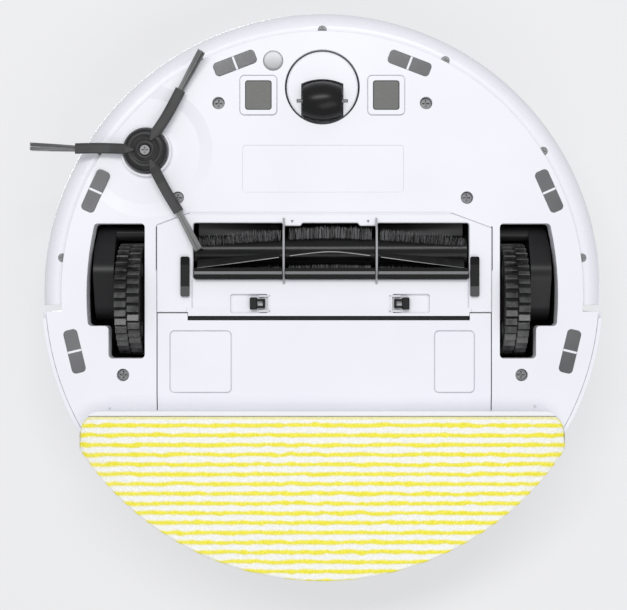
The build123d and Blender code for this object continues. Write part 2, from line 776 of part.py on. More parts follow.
# ---------------------------------------------------------------- main brush roller
roller_left = chamber_left + 3.0
roller_right = chamber_right - 3.0
with BuildPart() as brush_core:
    with BuildSketch(Plane.YZ.offset(roller_left)):
        with Locations((brush_y, brush_z)):
            Circle(brush_core_radius)
    extrude(amount=roller_right - roller_left)
    with BuildSketch(Plane.YZ.offset(brush_shaft_end)):
        with Locations((brush_y, brush_z)):
            Circle(3.5)
    extrude(amount=roller_left - brush_shaft_end)
    with BuildSketch(Plane.YZ.offset(roller_right)):
        with Locations((brush_y, brush_z)):
            Circle(4.0)
    extrude(amount=chamber_right - roller_right)
brush_core.part.label = "brush_core"
export_step(brush_core.part, "parts/brush_core.step")

# Four rows of bristles, with a slot at each rib of the guard.
row_ends = [roller_left + 1.0]
for rib_x in rib_places:
    row_ends += [rib_x - 3.0, rib_x + 3.0]
row_ends.append(roller_right - 1.0)
with BuildPart() as brush_bristles:
    for row_start, row_end in zip(row_ends[0::2], row_ends[1::2]):
        with BuildSketch(Plane.YZ.offset(row_start)):
            with Locations((brush_y, brush_z)):
                with PolarLocations((brush_core_radius + brush_radius) / 2, 4, 45.0):
                    Rectangle(brush_radius - brush_core_radius, 3.0)
        extrude(amount=row_end - row_start)
brush_bristles.part.label = "brush_bristles"
export_step(brush_bristles.part, "parts/brush_bristles.step")

# ---------------------------------------------------------------- brush guard
latch_pockets = ((-56.8, -33.6), (43.1, 66.3))
pocket_front = 1.2
pocket_rear = 13.0
hinge_lip_radius = 0.5
guard_slope_y = 9.2
with BuildPart() as brush_guard:
    with BuildSketch(Plane.XY.offset(guard_bottom)):
        add(guard_outline(0))
        with Locations(((mouth_left + mouth_right) / 2, (mouth_front + mouth_rear) / 2)):
            RectangleRounded(mouth_right - mouth_left, mouth_rear - mouth_front, 1.5, mode=Mode.SUBTRACT)
        # two tabs that reach into the mouth beside the ribs
        with Locations((-18.6, mouth_front + 0.6), (28.3, mouth_front + 0.6)):
            Trapezoid(14.0, 2.4, 50.0)
    extrude(amount=guard_top - guard_bottom)
    chamfer(brush_guard.edges().group_by(Axis.Z)[0], 0.5)
    # the rear edge slopes down towards the tank
    with BuildSketch(Plane.YZ.offset(guard_step_left - 1.0)):
        with BuildLine():
            Polyline(
                (guard_slope_y, guard_bottom),
                (guard_rear + 1.0, guard_bottom + 1.6),
                (guard_rear + 1.0, guard_bottom - 1.0),
                (guard_slope_y, guard_bottom - 1.0),
                close=True,
            )
        make_face()
    extrude(amount=guard_step_right - guard_step_left + 2.0, mode=Mode.SUBTRACT)
    # round lip along the front edge, which the guard turns on as it opens
    with BuildSketch(Plane.YZ.offset(guard_front_left + 1.0)):
        with Locations((guard_front, guard_bottom + hinge_lip_radius)):
            Circle(hinge_lip_radius)
    extrude(amount=guard_front_right - guard_front_left - 2.0)
    # grooves at both ends of the rear flap
    with BuildSketch(Plane.XY.offset(guard_bottom)):
        with Locations((-80.3, 1.0), (90.2, 1.0)):
            Rectangle(0.6, 17.0)
    extrude(amount=0.9, mode=Mode.SUBTRACT)
    # pockets of the two latches
    with BuildSketch(Plane.XY.offset(guard_bottom)):
        for pocket_left, pocket_right in latch_pockets:
            with Locations(((pocket_left + pocket_right) / 2, (pocket_front + pocket_rear) / 2)):
                RectangleRounded(pocket_right - pocket_left, pocket_rear - pocket_front, 1.4)
    extrude(amount=2.6, mode=Mode.SUBTRACT)
brush_guard.part.label = "brush_guard"
export_step(brush_guard.part, "parts/brush_guard.step")

with BuildPart() as guard_ribs:
    for rib_x in rib_places:
        with BuildSketch(Plane.YZ.offset(rib_x - rib_width / 2)):
            with BuildLine():
                Polyline(
                    (mouth_front - 3.0, guard_bottom),
                    (mouth_front - 3.0, guard_bottom - 1.0),
                    (mouth_front + 1.0, 7.0),
                    (mouth_front + 5.0, 3.6),
                    (mouth_rear - 5.0, 3.6),
                    (mouth_rear - 0.5, 7.0),
                    (mouth_rear + 3.0, guard_bottom - 1.0),
                    (mouth_rear + 3.0, guard_bottom),
                    (mouth_rear - 0.6, guard_bottom),
                    (mouth_rear - 5.6, 5.4),
                    (mouth_front + 5.6, 5.4),
                    (mouth_front + 1.4, guard_bottom),
                    close=True,
                )
            make_face()
        extrude(amount=rib_width)
guard_ribs.part.label = "guard_ribs"
export_step(guard_ribs.part, "parts/guard_ribs.step")

# A soft strip hangs behind the brush, in three lengths between the ribs.
strip_ends = [mouth_left + 1.2]
for rib_x in rib_places:
    strip_ends += [rib_x - rib_width / 2 - 0.4, rib_x + rib_width / 2 + 0.4]
strip_ends.append(mouth_right - 1.2)
with BuildPart() as squeegee:
    for strip_left, strip_right in zip(strip_ends[0::2], strip_ends[1::2]):
        with BuildSketch(Plane.YZ.offset(strip_left)):
            with BuildLine():
                Polyline(
                    (mouth_rear - 0.1, guard_bottom),
                    (mouth_rear - 0.1, 5.0),
                    (mouth_rear - 2.4, 4.6),
                    (mouth_rear - 4.2, 2.6),
                    (mouth_rear - 6.8, 2.4),
                    (mouth_rear - 6.8, 3.6),
                    (mouth_rear - 4.6, 4.0),
                    (mouth_rear - 2.6, 6.2),
                    (mouth_rear - 2.2, guard_bottom),
                    close=True,
                )
            make_face()
        extrude(amount=strip_right - strip_left)
squeegee.part.label = "squeegee"
export_step(squeegee.part, "parts/squeegee.step")

with BuildPart() as guard_pads:
    with BuildSketch(Plane.XY.offset(guard_bottom - 2.2)):
        with Locations((-84.6, -9.5), (94.0, -9.5)):
            RectangleRounded(5.5, 24.7, 1.2)
    extrude(amount=2.2)
guard_pads.part.label = "guard_pads"
export_step(guard_pads.part, "parts/guard_pads.step")

# Each latch has a finger ridge at its outward end.
for latch_name, latch_x, outward in (("guard_latch_left", -39.6, -1), ("guard_latch_right", 48.7, 1)):
    with BuildPart() as latch:
        with BuildSketch(Plane.XY.offset(guard_bottom - 0.6)):
            with Locations((latch_x, (pocket_front + pocket_rear) / 2)):
                RectangleRounded(10.2, pocket_rear - pocket_front - 0.8, 0.8)
        extrude(amount=3.0)
        with BuildSketch(Plane.XY.offset(guard_bottom - 1.4)):
            with Locations((latch_x + outward * 3.4, (pocket_front + pocket_rear) / 2)):
                RectangleRounded(3.2, 7.6, 0.8)
        extrude(amount=1.0)
    latch.part.label = latch_name
    export_step(latch.part, "parts/" + latch_name + ".step")

# ---------------------------------------------------------------- tank
bin_wall_y = 104.0
label_recesses = ((-94.4, -56.0), (69.1, 94.3))
filter_y = fan_y
filter_z = 42.0
tank_button_z = 44.0
with BuildPart() as tank_shell:
    with BuildSketch(Plane.XY.offset(tank_bottom)):
        add(tank_outline(0))
    extrude(amount=tank_top - 2.2 - tank_bottom)
    with BuildSketch(Plane.XY.offset(tank_bottom + tank_wall)):
        add(tank_outline(tank_wall))
    extrude(amount=60.0, mode=Mode.SUBTRACT)
    # wall between the dust bin in front and the water behind
    with BuildSketch(Plane.XY.offset(tank_bottom + tank_wall)):
        with Locations((guard_middle, bin_wall_y)):
            Rectangle(guard_width - 3.0, tank_wall)
    extrude(amount=tank_top - 2.2 - tank_bottom - tank_wall)
    # dust inlet, in line with the duct
    with BuildSketch(Plane.XZ.offset(-tank_front + 1.0)):
        with Locations(((duct_left + duct_right) / 2, (duct_bottom + duct_top) / 2)):
            Rectangle(duct_right - duct_left, duct_top - duct_bottom)
    extrude(amount=-5.0, mode=Mode.SUBTRACT)
    # filter port towards the fan
    with BuildSketch(Plane.YZ.offset(guard_right - 5.0)):
        with Locations((filter_y, filter_z)):
            Rectangle(40.4, 24.4)
    extrude(amount=6.0, mode=Mode.SUBTRACT)
    # button hole in the rear wall
    with BuildSketch(Plane.XZ.offset(-rear_shell_radius - 1.0)):
        with Locations((0, tank_button_z)):
            RectangleRounded(30.0, 12.0, 5.0)
    extrude(amount=8.0, mode=Mode.SUBTRACT)
    # outlines of two blank label places, and the crease in front of the mop
    with BuildSketch(Plane.XY.offset(tank_bottom)):
        for recess_left, recess_right in label_recesses:
            with Locations(((recess_left + recess_right) / 2, 43.1)):
                RectangleRounded(recess_right - recess_left, 38.7, 3.0)
                RectangleRounded(recess_right - recess_left - 1.2, 37.5, 2.4, mode=Mode.SUBTRACT)
    extrude(amount=1.0, mode=Mode.SUBTRACT)
    with BuildSketch(Plane.YZ.offset(-110.0)):
        with Locations((crease_y, crease_z)):
            Circle(crease_radius)
    extrude(amount=230.0, mode=Mode.SUBTRACT)
tank_shell.part.label = "tank_shell"
export_step(tank_shell.part, "parts/tank_shell.step")

with BuildPart() as tank_lid:
    with BuildSketch(Plane.XY.offset(tank_top - 2.2)):
        add(tank_outline(0))
    extrude(amount=2.2)
    with BuildSketch(Plane.XY.offset(tank_top - 5.0)):
        add(tank_outline(tank_wall + 0.2))
        add(tank_outline(tank_wall + 2.0), mode=Mode.SUBTRACT)
        with Locations((guard_middle, bin_wall_y)):
            Rectangle(beyond, 4.0, mode=Mode.SUBTRACT)
        with Locations((0, rear_shell_radius)):
            Rectangle(40.0, 12.0, mode=Mode.SUBTRACT)
    extrude(amount=2.8)
    # filler mouth of the water tank, in the lid's left corner
    with BuildSketch(Plane.XY.offset(tank_top - 6.0)):
        with Locations((guard_left + gap, bin_wall_y + 4.0)):
            Rectangle(22.0, 18.0, align=Align.MIN)
    extrude(amount=8.0, mode=Mode.SUBTRACT)
tank_lid.part.label = "tank_lid"
export_step(tank_lid.part, "parts/tank_lid.step")

with BuildPart() as tank_filter:
    with BuildSketch(Plane.YZ.offset(guard_right - gap - 9.0)):
        with Locations((filter_y, filter_z)):
            Rectangle(40.0, 24.0)
    extrude(amount=9.0)
    with BuildSketch(Plane.YZ.offset(guard_right - gap)):
        with Locations((filter_y, filter_z)):
            with GridLocations(4.2, 1.0, 9, 1):
                Rectangle(2.4, 20.0)
    extrude(amount=-7.0, mode=Mode.SUBTRACT)
tank_filter.part.label = "tank_filter"
export_step(tank_filter.part, "parts/tank_filter.step")

with BuildPart() as tank_button:
    with BuildSketch(Plane.XZ.offset(-(rear_shell_radius - 5.0))):
        with Locations((0, tank_button_z)):
            RectangleRounded(29.4, 11.4, 4.7)
    extrude(amount=-8.0)
    with BuildSketch(Plane.XY.offset(plate_top)):
        Circle(rear_shell_radius - 0.5)
        with Locations((0, rear_shell_radius - 3.0)):
            Rectangle(32.0, 12.0, mode=Mode.INTERSECT)
    extrude(amount=60.0, mode=Mode.INTERSECT)
tank_button.part.label = "tank_button"
export_step(tank_button.part, "parts/tank_button.step")

# ---------------------------------------------------------------- mop
mop_plate_radius = rear_shell_radius - 0.5
with BuildPart() as mop_plate:
    with BuildSketch(Plane.XY.offset(pad_thickness)):
        add(mop_outline(mop_plate_radius, mop_front, pad_half_width - 3.0))
    extrude(amount=plate_bottom - gap - pad_thickness)
    chamfer(mop_plate.edges().group_by(Axis.Z)[-1], 1.0)
    with BuildSketch(Plane.XY.offset(pad_thickness)):
        with Locations((0, 77.0)):
            Rectangle(beyond, 2.0)
    extrude(amount=1.2, mode=Mode.SUBTRACT)
mop_plate.part.label = "mop_plate"
export_step(mop_plate.part, "parts/mop_plate.step")

with BuildPart() as mop_pad:
    with BuildSketch():
        add(mop_outline(pad_radius, pad_front, pad_half_width))
    extrude(amount=pad_thickness)
    fillet(mop_pad.edges().group_by(Axis.Z)[0], 0.8)
mop_pad.part.label = "mop_pad"
export_step(mop_pad.part, "parts/mop_pad.step")

# ---------------------------------------------------------------- lidar
with BuildPart() as lidar_base:
    with BuildSketch(Plane.XY.offset(tank_top + 1.8)):
        with Locations((0, lidar_y)):
            Circle(40.0)
        with Locations((0, lidar_motor_y)):
            Circle(12.0)
        make_hull()
        with Locations((0, lidar_motor_y)):
            Circle(8.6, mode=Mode.SUBTRACT)
    extrude(amount=2.6)
    with BuildSketch(Plane.XY.offset(tank_top + 4.4)):
        with Locations((0, lidar_y)):
            Circle(lidar_pin_radius)
    extrude(amount=5.0)
lidar_base.part.label = "lidar_base"
export_step(lidar_base.part, "parts/lidar_base.step")

with BuildPart() as lidar_rotor:
    with BuildSketch(Plane.XY.offset(67.0)):
        with Locations((0, lidar_y)):
            Circle(lidar_rotor_radius)
    extrude(amount=25.0)
    with BuildSketch(Plane.XY.offset(66.0)):
        with Locations((0, lidar_y)):
            Circle(lidar_pin_radius + running_clearance)
    extrude(amount=6.0, mode=Mode.SUBTRACT)
    with BuildSketch(Plane.XY.offset(groove_bottom)):
        with Locations((0, lidar_y)):
            Circle(lidar_rotor_radius + 1.0)
            Circle(lidar_rotor_radius - 1.6, mode=Mode.SUBTRACT)
    extrude(amount=groove_width, mode=Mode.SUBTRACT)
    # window of the laser and its receiver
    with BuildSketch(Plane.XZ.offset(-lidar_y + lidar_rotor_radius - 3.0)):
        with Locations((-9.0, 86.0), (9.0, 86.0)):
            Circle(4.0)
    extrude(amount=6.0, mode=Mode.SUBTRACT)
lidar_rotor.part.label = "lidar_rotor"
export_step(lidar_rotor.part, "parts/lidar_rotor.step")

with BuildPart() as lidar_motor:
    with BuildSketch(Plane.XY.offset(46.0)):
        with Locations((0, lidar_motor_y)):
            Circle(8.0)
    extrude(amount=21.0)
    fillet(lidar_motor.edges().group_by(Axis.Z)[0], 1.5)
lidar_motor.part.label = "lidar_motor"
export_step(lidar_motor.part, "parts/lidar_motor.step")

with BuildPart() as lidar_pulley:
    with BuildSketch(Plane.XY.offset(belt_z - 1.0)):
        with Locations((0, lidar_motor_y)):
            Circle(lidar_pulley_radius + 1.2)
    extrude(amount=belt_width + 2.0)
    with BuildSketch(Plane.XY.offset(groove_bottom)):
        with Locations((0, lidar_motor_y)):
            Circle(lidar_pulley_radius + 2.0)
            Circle(lidar_pulley_radius - 1.0, mode=Mode.SUBTRACT)
    extrude(amount=groove_width, mode=Mode.SUBTRACT)
lidar_pulley.part.label = "lidar_pulley"
export_step(lidar_pulley.part, "parts/lidar_pulley.step")

# The belt lies in the grooves of both pulleys, clear of their floors.
belt_inner = ((lidar_y, lidar_rotor_radius - 1.3), (lidar_motor_y, lidar_pulley_radius - 0.7))
with BuildPart() as lidar_belt:
    for grow, belt_mode in ((1.0, Mode.ADD), (0.0, Mode.SUBTRACT)):
        with BuildSketch(Plane.XY.offset(belt_z)):
            for pulley_y, radius in belt_inner:
                with Locations((0, pulley_y)):
                    Circle(radius + grow)
            make_hull()
        extrude(amount=belt_width, mode=belt_mode)
lidar_belt.part.label = "lidar_belt"
export_step(lidar_belt.part, "parts/lidar_belt.step")

with BuildPart() as lidar_cap:
    with BuildSketch(Plane.XY.offset(lidar_cap_bottom)):
        with Locations((0, lidar_y)):
            Circle(lidar_cap_radius)
    extrude(amount=overall_height - lidar_cap_bottom)
    fillet(lidar_cap.edges().group_by(Axis.Z)[-1], 2.0)
    with BuildSketch(Plane.XY.offset(deck_top)):
        with Locations((0, lidar_y)):
            with PolarLocations(lidar_cap_radius - 2.8, 3, 90.0):
                Rectangle(4.6, 9.0)
    extrude(amount=lidar_cap_bottom - deck_top)
    with BuildSketch(Plane.XY.offset(deck_top)):
        with Locations((0, lidar_y)):
            Circle(lidar_cap_radius)
            Circle(36.6, mode=Mode.SUBTRACT)
    extrude(amount=3.0)
lidar_cap.part.label = "lidar_cap"
export_step(lidar_cap.part, "parts/lidar_cap.step")

# ---------------------------------------------------------------- caster
with BuildPart() as caster_fork:
    with BuildSketch(Plane.XY.offset(plate_bottom)):
        with Locations((0, caster_y)):
            Circle(caster_recess_radius - 1.1)
    extrude(amount=caster_recess_depth - 1.0)
    fillet(caster_fork.edges().group_by(Axis.Z)[0], 1.6)
    with BuildSketch(Plane.XY.offset(plate_bottom + caster_recess_depth - 1.0)):
        with Locations((0, caster_y)):
            Circle(caster_pin_radius)
    extrude(amount=12.0)
    # slot of the wheel, arched in front and open at the rear, and the axle hole
    with BuildSketch(Plane.XY.offset(plate_bottom)):
        with BuildLine():
            arch = ThreePointArc(
                (-caster_slot_half, caster_wheel_y - 10.6),
                (0, caster_wheel_y - 13.4),
                (caster_slot_half, caster_wheel_y - 10.6),
            )
            Polyline(
                arch @ 1,
                (caster_slot_half, caster_y + caster_recess_radius),
                (-caster_slot_half, caster_y + caster_recess_radius),
                arch @ 0,
            )
        make_face()
    extrude(amount=15.0, mode=Mode.SUBTRACT)
    with BuildSketch(Plane.YZ.offset(-caster_axle_half - 0.4)):
        with Locations((caster_wheel_y, caster_wheel_radius)):
            Circle(caster_axle_radius + running_clearance)
    extrude(amount=2 * caster_axle_half + 0.8, mode=Mode.SUBTRACT)
caster_fork.part.label = "caster_fork"
export_step(caster_fork.part, "parts/caster_fork.step")

caster_bore = caster_axle_radius + running_clearance
with BuildPart() as caster_wheel:
    with BuildSketch(Plane.XY):
        with BuildLine():
            edge = Line((-12.0, caster_bore), (-12.0, 9.4))
            crown = ThreePointArc(edge @ 1, (0, caster_wheel_radius), (12.0, 9.4))
            Polyline(crown @ 1, (12.0, caster_bore), edge @ 0)
        make_face()
    revolve(axis=Axis.X)
caster_wheel_part = Pos(0, caster_wheel_y, caster_wheel_radius) * caster_wheel.part
caster_wheel_part.label = "caster_wheel"
export_step(caster_wheel_part, "parts/caster_wheel.step")

with BuildPart() as caster_axle:
    with BuildSketch(Plane.YZ.offset(-caster_axle_half)):
        with Locations((caster_wheel_y, caster_wheel_radius)):
            Circle(caster_axle_radius)
    extrude(amount=2 * caster_axle_half)
caster_axle.part.label = "caster_axle"
export_step(caster_axle.part, "parts/caster_axle.step")

# ---------------------------------------------------------------- side brush
with BuildPart() as side_brush_hub:
    with BuildSketch(Plane.XY.offset(hub_bottom)):
        with Locations((side_brush_x, side_brush_y)):
            Circle(hub_radius)
    extrude(amount=hub_top - hub_bottom)
    fillet(side_brush_hub.edges().group_by(Axis.Z)[0], 1.6)
    with BuildSketch(Plane.XY.offset(hub_top)):
        with Locations((side_brush_x, side_brush_y)):
            Circle(brush_shaft_radius)
    extrude(amount=10.0)
    # recess of the screw's head and its hole
    with BuildSketch(Plane.XY.offset(hub_bottom)):
        with Locations((side_brush_x, side_brush_y)):
            Circle(3.2)
    extrude(amount=2.0, mode=Mode.SUBTRACT)
    with BuildSketch(Plane.XY.offset(hub_bottom)):
        with Locations((side_brush_x, side_brush_y)):
            Circle(1.3)
    extrude(amount=12.0, mode=Mode.SUBTRACT)
    # sockets of the three arms
    for angle in arm_angles:
        with BuildSketch(Plane.XY.offset(arm_bottom - 0.1)):
            with Locations(Location((side_brush_x, side_brush_y, 0), (0, 0, angle))):
                with Locations((11.5, 0)):
                    Rectangle(7.0, 8.2)
        extrude(amount=3.2, mode=Mode.SUBTRACT)
side_brush_hub.part.label = "side_brush_hub"
export_step(side_brush_hub.part, "parts/side_brush_hub.step")

with BuildPart() as side_brush_arms:
    for angle in arm_angles:
        with BuildSketch(Plane.XY.offset(arm_bottom)):
            with Locations(Location((side_brush_x, side_brush_y, 0), (0, 0, angle))):
                with Locations(((rubber_reach + arm_start) / 2, 0)):
                    Trapezoid(8.0, rubber_reach - arm_start, 88.2, rotation=-90)
        extrude(amount=3.0)
side_brush_arms.part.label = "side_brush_arms"
export_step(side_brush_arms.part, "parts/side_brush_arms.step")

# Each bristle bundle leaves the end of its arm, fans out a little and droops.
with BuildPart() as side_brush_bristles:
    for angle in arm_angles:
        arm_plane = Plane(
            origin=(side_brush_x, side_brush_y, 0), x_dir=(cos(radians(angle)), sin(radians(angle)), 0)
        )
        end_plane = Plane(origin=arm_plane.from_local_coords((rubber_reach, 0, 7.0)), z_dir=arm_plane.x_dir)
        tip_plane = Plane(
            origin=arm_plane.from_local_coords((side_brush_reach, 0, 2.4)), z_dir=arm_plane.x_dir
        )
        with BuildSketch(end_plane):
            Circle(1.4)
        with BuildSketch(tip_plane):
            Circle(2.2)
        loft()
side_brush_bristles.part.label = "side_brush_bristles"
export_step(side_brush_bristles.part, "parts/side_brush_bristles.step")

side_brush_screw = phillips_screw(side_brush_x, side_brush_y, hub_bottom + 0.2, 3.0, 1.8, 1.2, 9.0)
side_brush_screw.label = "side_brush_screw"
export_step(side_brush_screw, "parts/side_brush_screw.step")

side_motor_x = -82.0
with BuildPart() as side_brush_gearbox:
    with BuildSketch(Plane.XY.offset(plate_top + 0.5)):
        with Locations((side_brush_x, side_brush_y)):
            Circle(11.8)
        with Locations((side_motor_x, side_brush_y)):
            Circle(11.0)
        make_hull()
    extrude(amount=18.0)
    with BuildSketch(Plane.XY.offset(plate_top + 18.5)):
        with Locations((side_motor_x, side_brush_y)):
            Circle(10.0)
    extrude(amount=24.0)
    with BuildSketch(Plane.XY.offset(plate_top + 0.5)):
        with Locations((side_brush_x, side_brush_y)):
            Circle(brush_shaft_radius + running_clearance)
    extrude(amount=8.0, mode=Mode.SUBTRACT)
side_brush_gearbox.part.label = "side_brush_gearbox"
export_step(side_brush_gearbox.part, "parts/side_brush_gearbox.step")

# ---------------------------------------------------------------- drive wheel modules
spring_foot_z = 52.0
spring_parts = []
for side, side_name in ((-1, "left"), (1, "right")):
    with BuildPart() as housing:
        with BuildSketch(Plane.XY.offset(skirt_top)):
            add(well_outline(side, 1.4))
        extrude(amount=well_top + 1.5 - skirt_top)
        with BuildSketch(Plane.XY.offset(skirt_top)):
            add(well_outline(side, 0))
        extrude(amount=well_top - skirt_top, mode=Mode.SUBTRACT)
        with BuildSketch(Plane.YZ.offset(side * 107.0)):
            with Locations((pivot_y, pivot_z)):
                Circle(pivot_radius + running_clearance)
        extrude(amount=side * 40.0, mode=Mode.SUBTRACT)
        # notch beside the screw boss
        with BuildSketch(Plane.XY.offset(skirt_top)):
            with Locations((side * rear_screw[0], rear_screw[1])):
                Circle(5.6)
        extrude(amount=well_top, mode=Mode.SUBTRACT)
    housing.part.label = side_name + "_wheel_housing"
    export_step(housing.part, "parts/" + side_name + "_wheel_housing.step")

    # pivot barrel across the front of the wheel, and the gearbox on its outer side
    with BuildPart() as arm:
        with BuildSketch(Plane.YZ.offset(side * 111.6)):
            with Locations((pivot_y, pivot_z)):
                Circle(barrel_radius)
        extrude(amount=side * 28.6)
        with BuildSketch(Plane.YZ.offset(side * 129.6)):
            with Locations((pivot_y, pivot_z)):
                Circle(barrel_radius)
            with Locations((-12.0, 30.0)):
                Circle(15.0)
            with Locations((wheel_y, wheel_radius)):
                Circle(14.4)
            make_hull()
        extrude(amount=side * 12.9)
        with BuildSketch(Plane.XY):
            with Locations((side * (well_outer_x - well_side_radius), well_side_y)):
                Circle(well_side_radius - 1.2)
        extrude(amount=well_top, mode=Mode.INTERSECT)
        with BuildSketch(Plane.YZ.offset(side * 108.6)):
            with Locations((pivot_y, pivot_z)):
                Circle(pivot_radius)
        extrude(amount=side * 33.6)
        with BuildSketch(Plane.YZ.offset(side * 128.0)):
            with Locations((wheel_y, wheel_radius)):
                Circle(wheel_shaft_radius + running_clearance)
        extrude(amount=side * 10.0, mode=Mode.SUBTRACT)
    arm.part.label = side_name + "_wheel_arm"
    export_step(arm.part, "parts/" + side_name + "_wheel_arm.step")

    with BuildPart() as tyre:
        with BuildSketch(Plane.YZ.offset(side * wheel_x - tyre_width / 2)):
            with Locations((wheel_y, wheel_radius)):
                Circle(wheel_radius)
                Circle(rim_radius, mode=Mode.SUBTRACT)
        extrude(amount=tyre_width)
        with BuildSketch(Plane.YZ.offset(side * wheel_x - 0.5)):
            with Locations((wheel_y, wheel_radius)):
                Circle(wheel_radius + 1.0)
                Circle(wheel_radius - 1.5, mode=Mode.SUBTRACT)
        extrude(amount=1.0, mode=Mode.SUBTRACT)
    tyre.part.label = side_name + "_tyre"
    export_step(tyre.part, "parts/" + side_name + "_tyre.step")

    with BuildPart() as hub:
        with BuildSketch(Plane.YZ.offset(side * wheel_x - hub_half_width)):
            with Locations((wheel_y, wheel_radius)):
                Circle(rim_radius)
                with PolarLocations(19.0, 6):
                    Circle(5.5, mode=Mode.SUBTRACT)
        extrude(amount=2 * hub_half_width)
        with BuildSketch(Plane.YZ.offset(side * (wheel_x + hub_half_width))):
            with Locations((wheel_y, wheel_radius)):
                Circle(8.0)
        extrude(amount=side * 3.6)
        with BuildSketch(Plane.YZ.offset(side * (wheel_x + hub_half_width + 3.6))):
            with Locations((wheel_y, wheel_radius)):
                Circle(wheel_shaft_radius)
        extrude(amount=side * 8.0)
    hub.part.label = side_name + "_wheel_hub"
    export_step(hub.part, "parts/" + side_name + "_wheel_hub.step")

    # spring between the roof of the well and the gearbox
    with BuildPart() as coil_spring:
        with BuildLine() as coil:
            Helix(
                pitch=2.4,
                height=well_top - spring_foot_z - 1.4,
                radius=3.2,
                center=(side * coil_x, coil_y, spring_foot_z + 0.7),
                direction=(0, 0, 1),
            )
        with BuildSketch(Plane(origin=coil.line @ 0, z_dir=coil.line % 0)):
            Circle(0.45)
        sweep()
    spring_parts.append(coil_spring.part.solid())
suspension_springs = Compound(children=spring_parts, label="suspension_springs")
export_step(suspension_springs, "parts/suspension_springs.step")
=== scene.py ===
import math
import random

import bpy
import numpy as np
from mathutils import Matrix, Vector


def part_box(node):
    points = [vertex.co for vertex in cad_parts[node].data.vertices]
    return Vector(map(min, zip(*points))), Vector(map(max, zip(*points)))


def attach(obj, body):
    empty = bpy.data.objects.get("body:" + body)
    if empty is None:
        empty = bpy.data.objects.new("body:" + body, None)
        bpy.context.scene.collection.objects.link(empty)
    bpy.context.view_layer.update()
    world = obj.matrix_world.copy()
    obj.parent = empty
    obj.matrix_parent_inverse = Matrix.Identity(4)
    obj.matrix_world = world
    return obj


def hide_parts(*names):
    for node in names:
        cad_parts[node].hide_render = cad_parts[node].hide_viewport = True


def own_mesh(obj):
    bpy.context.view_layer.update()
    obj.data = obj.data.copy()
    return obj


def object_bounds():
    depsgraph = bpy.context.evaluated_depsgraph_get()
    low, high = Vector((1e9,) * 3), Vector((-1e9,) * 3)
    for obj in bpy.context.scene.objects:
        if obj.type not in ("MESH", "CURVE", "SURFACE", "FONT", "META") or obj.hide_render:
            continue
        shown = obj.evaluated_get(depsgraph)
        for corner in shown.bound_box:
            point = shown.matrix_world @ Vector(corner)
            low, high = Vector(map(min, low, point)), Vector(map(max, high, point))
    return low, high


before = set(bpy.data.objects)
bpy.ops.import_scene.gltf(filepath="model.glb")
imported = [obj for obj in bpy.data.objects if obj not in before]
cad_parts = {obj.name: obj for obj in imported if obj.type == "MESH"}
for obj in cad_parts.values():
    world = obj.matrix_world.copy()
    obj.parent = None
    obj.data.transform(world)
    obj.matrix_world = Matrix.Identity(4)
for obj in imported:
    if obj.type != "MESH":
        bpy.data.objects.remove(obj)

MM = 0.001
cad_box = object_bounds()
random.seed(7)
dice = np.random.default_rng(7)


# ---------------------------------------------------------------- camera and stage
# The camera looks straight up at the underside, with the bumper at the top of the frame.
CAMERA_DEPTH = 0.80  # below the floor plane, in metres
LENS_MM = 75.3
SENSOR_MM = 36.0
SHIFT_X = -0.0140
SHIFT_Y = -0.0207
STAGE_GLOW = 0.385  # keeps the stage pale and its shadows soft
STAGE_GREY = (0.46, 0.46, 0.46, 1)
STAGE_HALF = 6.0
LIGHT_TARGET = Vector((0, 0, 0.03))


def add_camera():
    data = bpy.data.cameras.new("camera")
    data.sensor_width = SENSOR_MM
    data.lens = LENS_MM
    data.shift_x = SHIFT_X
    data.shift_y = SHIFT_Y
    data.clip_start = 0.01
    camera = bpy.data.objects.new("camera", data)
    camera.location = (0, 0, -CAMERA_DEPTH)
    camera.rotation_euler = (math.pi, 0, 0)
    bpy.context.collection.objects.link(camera)
    bpy.context.scene.camera = camera


def add_area_light(name, place, size, watts):
    data = bpy.data.lights.new(name, "AREA")
    data.shape = "RECTANGLE"
    data.size = size[0]
    data.size_y = size[1]
    data.energy = watts
    light = bpy.data.objects.new(name, data)
    light.location = place
    light.rotation_euler = (LIGHT_TARGET - Vector(place)).to_track_quat("-Z", "Y").to_euler()
    bpy.context.collection.objects.link(light)


def one_sided_sheet(name, height, faces_up):
    """A stage plane that shows only from the side that it faces."""
    corners = [(-STAGE_HALF, -STAGE_HALF, height), (STAGE_HALF, -STAGE_HALF, height)]
    corners += [(STAGE_HALF, STAGE_HALF, height), (-STAGE_HALF, STAGE_HALF, height)]
    mesh = bpy.data.meshes.new(name)
    mesh.from_pydata(corners, [], [(0, 1, 2, 3) if faces_up else (3, 2, 1, 0)])
    sheet = bpy.data.objects.new(name, mesh)
    bpy.context.collection.objects.link(sheet)
    material = bpy.data.materials.new(name)
    material.use_nodes = True
    nodes = material.node_tree.nodes
    links = material.node_tree.links
    bsdf = nodes["Principled BSDF"]
    bsdf.inputs["Base Color"].default_value = STAGE_GREY
    bsdf.inputs["Roughness"].default_value = 0.9
    bsdf.inputs["Emission Color"].default_value = (1, 1, 1, 1)
    bsdf.inputs["Emission Strength"].default_value = STAGE_GLOW
    clear = nodes.new("ShaderNodeBsdfTransparent")
    side = nodes.new("ShaderNodeNewGeometry")
    mix = nodes.new("ShaderNodeMixShader")
    links.new(side.outputs["Backfacing"], mix.inputs[0])
    links.new(bsdf.outputs[0], mix.inputs[1])
    links.new(clear.outputs[0], mix.inputs[2])
    links.new(mix.outputs[0], nodes["Material Output"].inputs["Surface"])
    mesh.materials.append(material)
    sheet.visible_shadow = False
    sheet.visible_diffuse = False
    sheet.visible_glossy = False
    sheet.visible_transmission = False


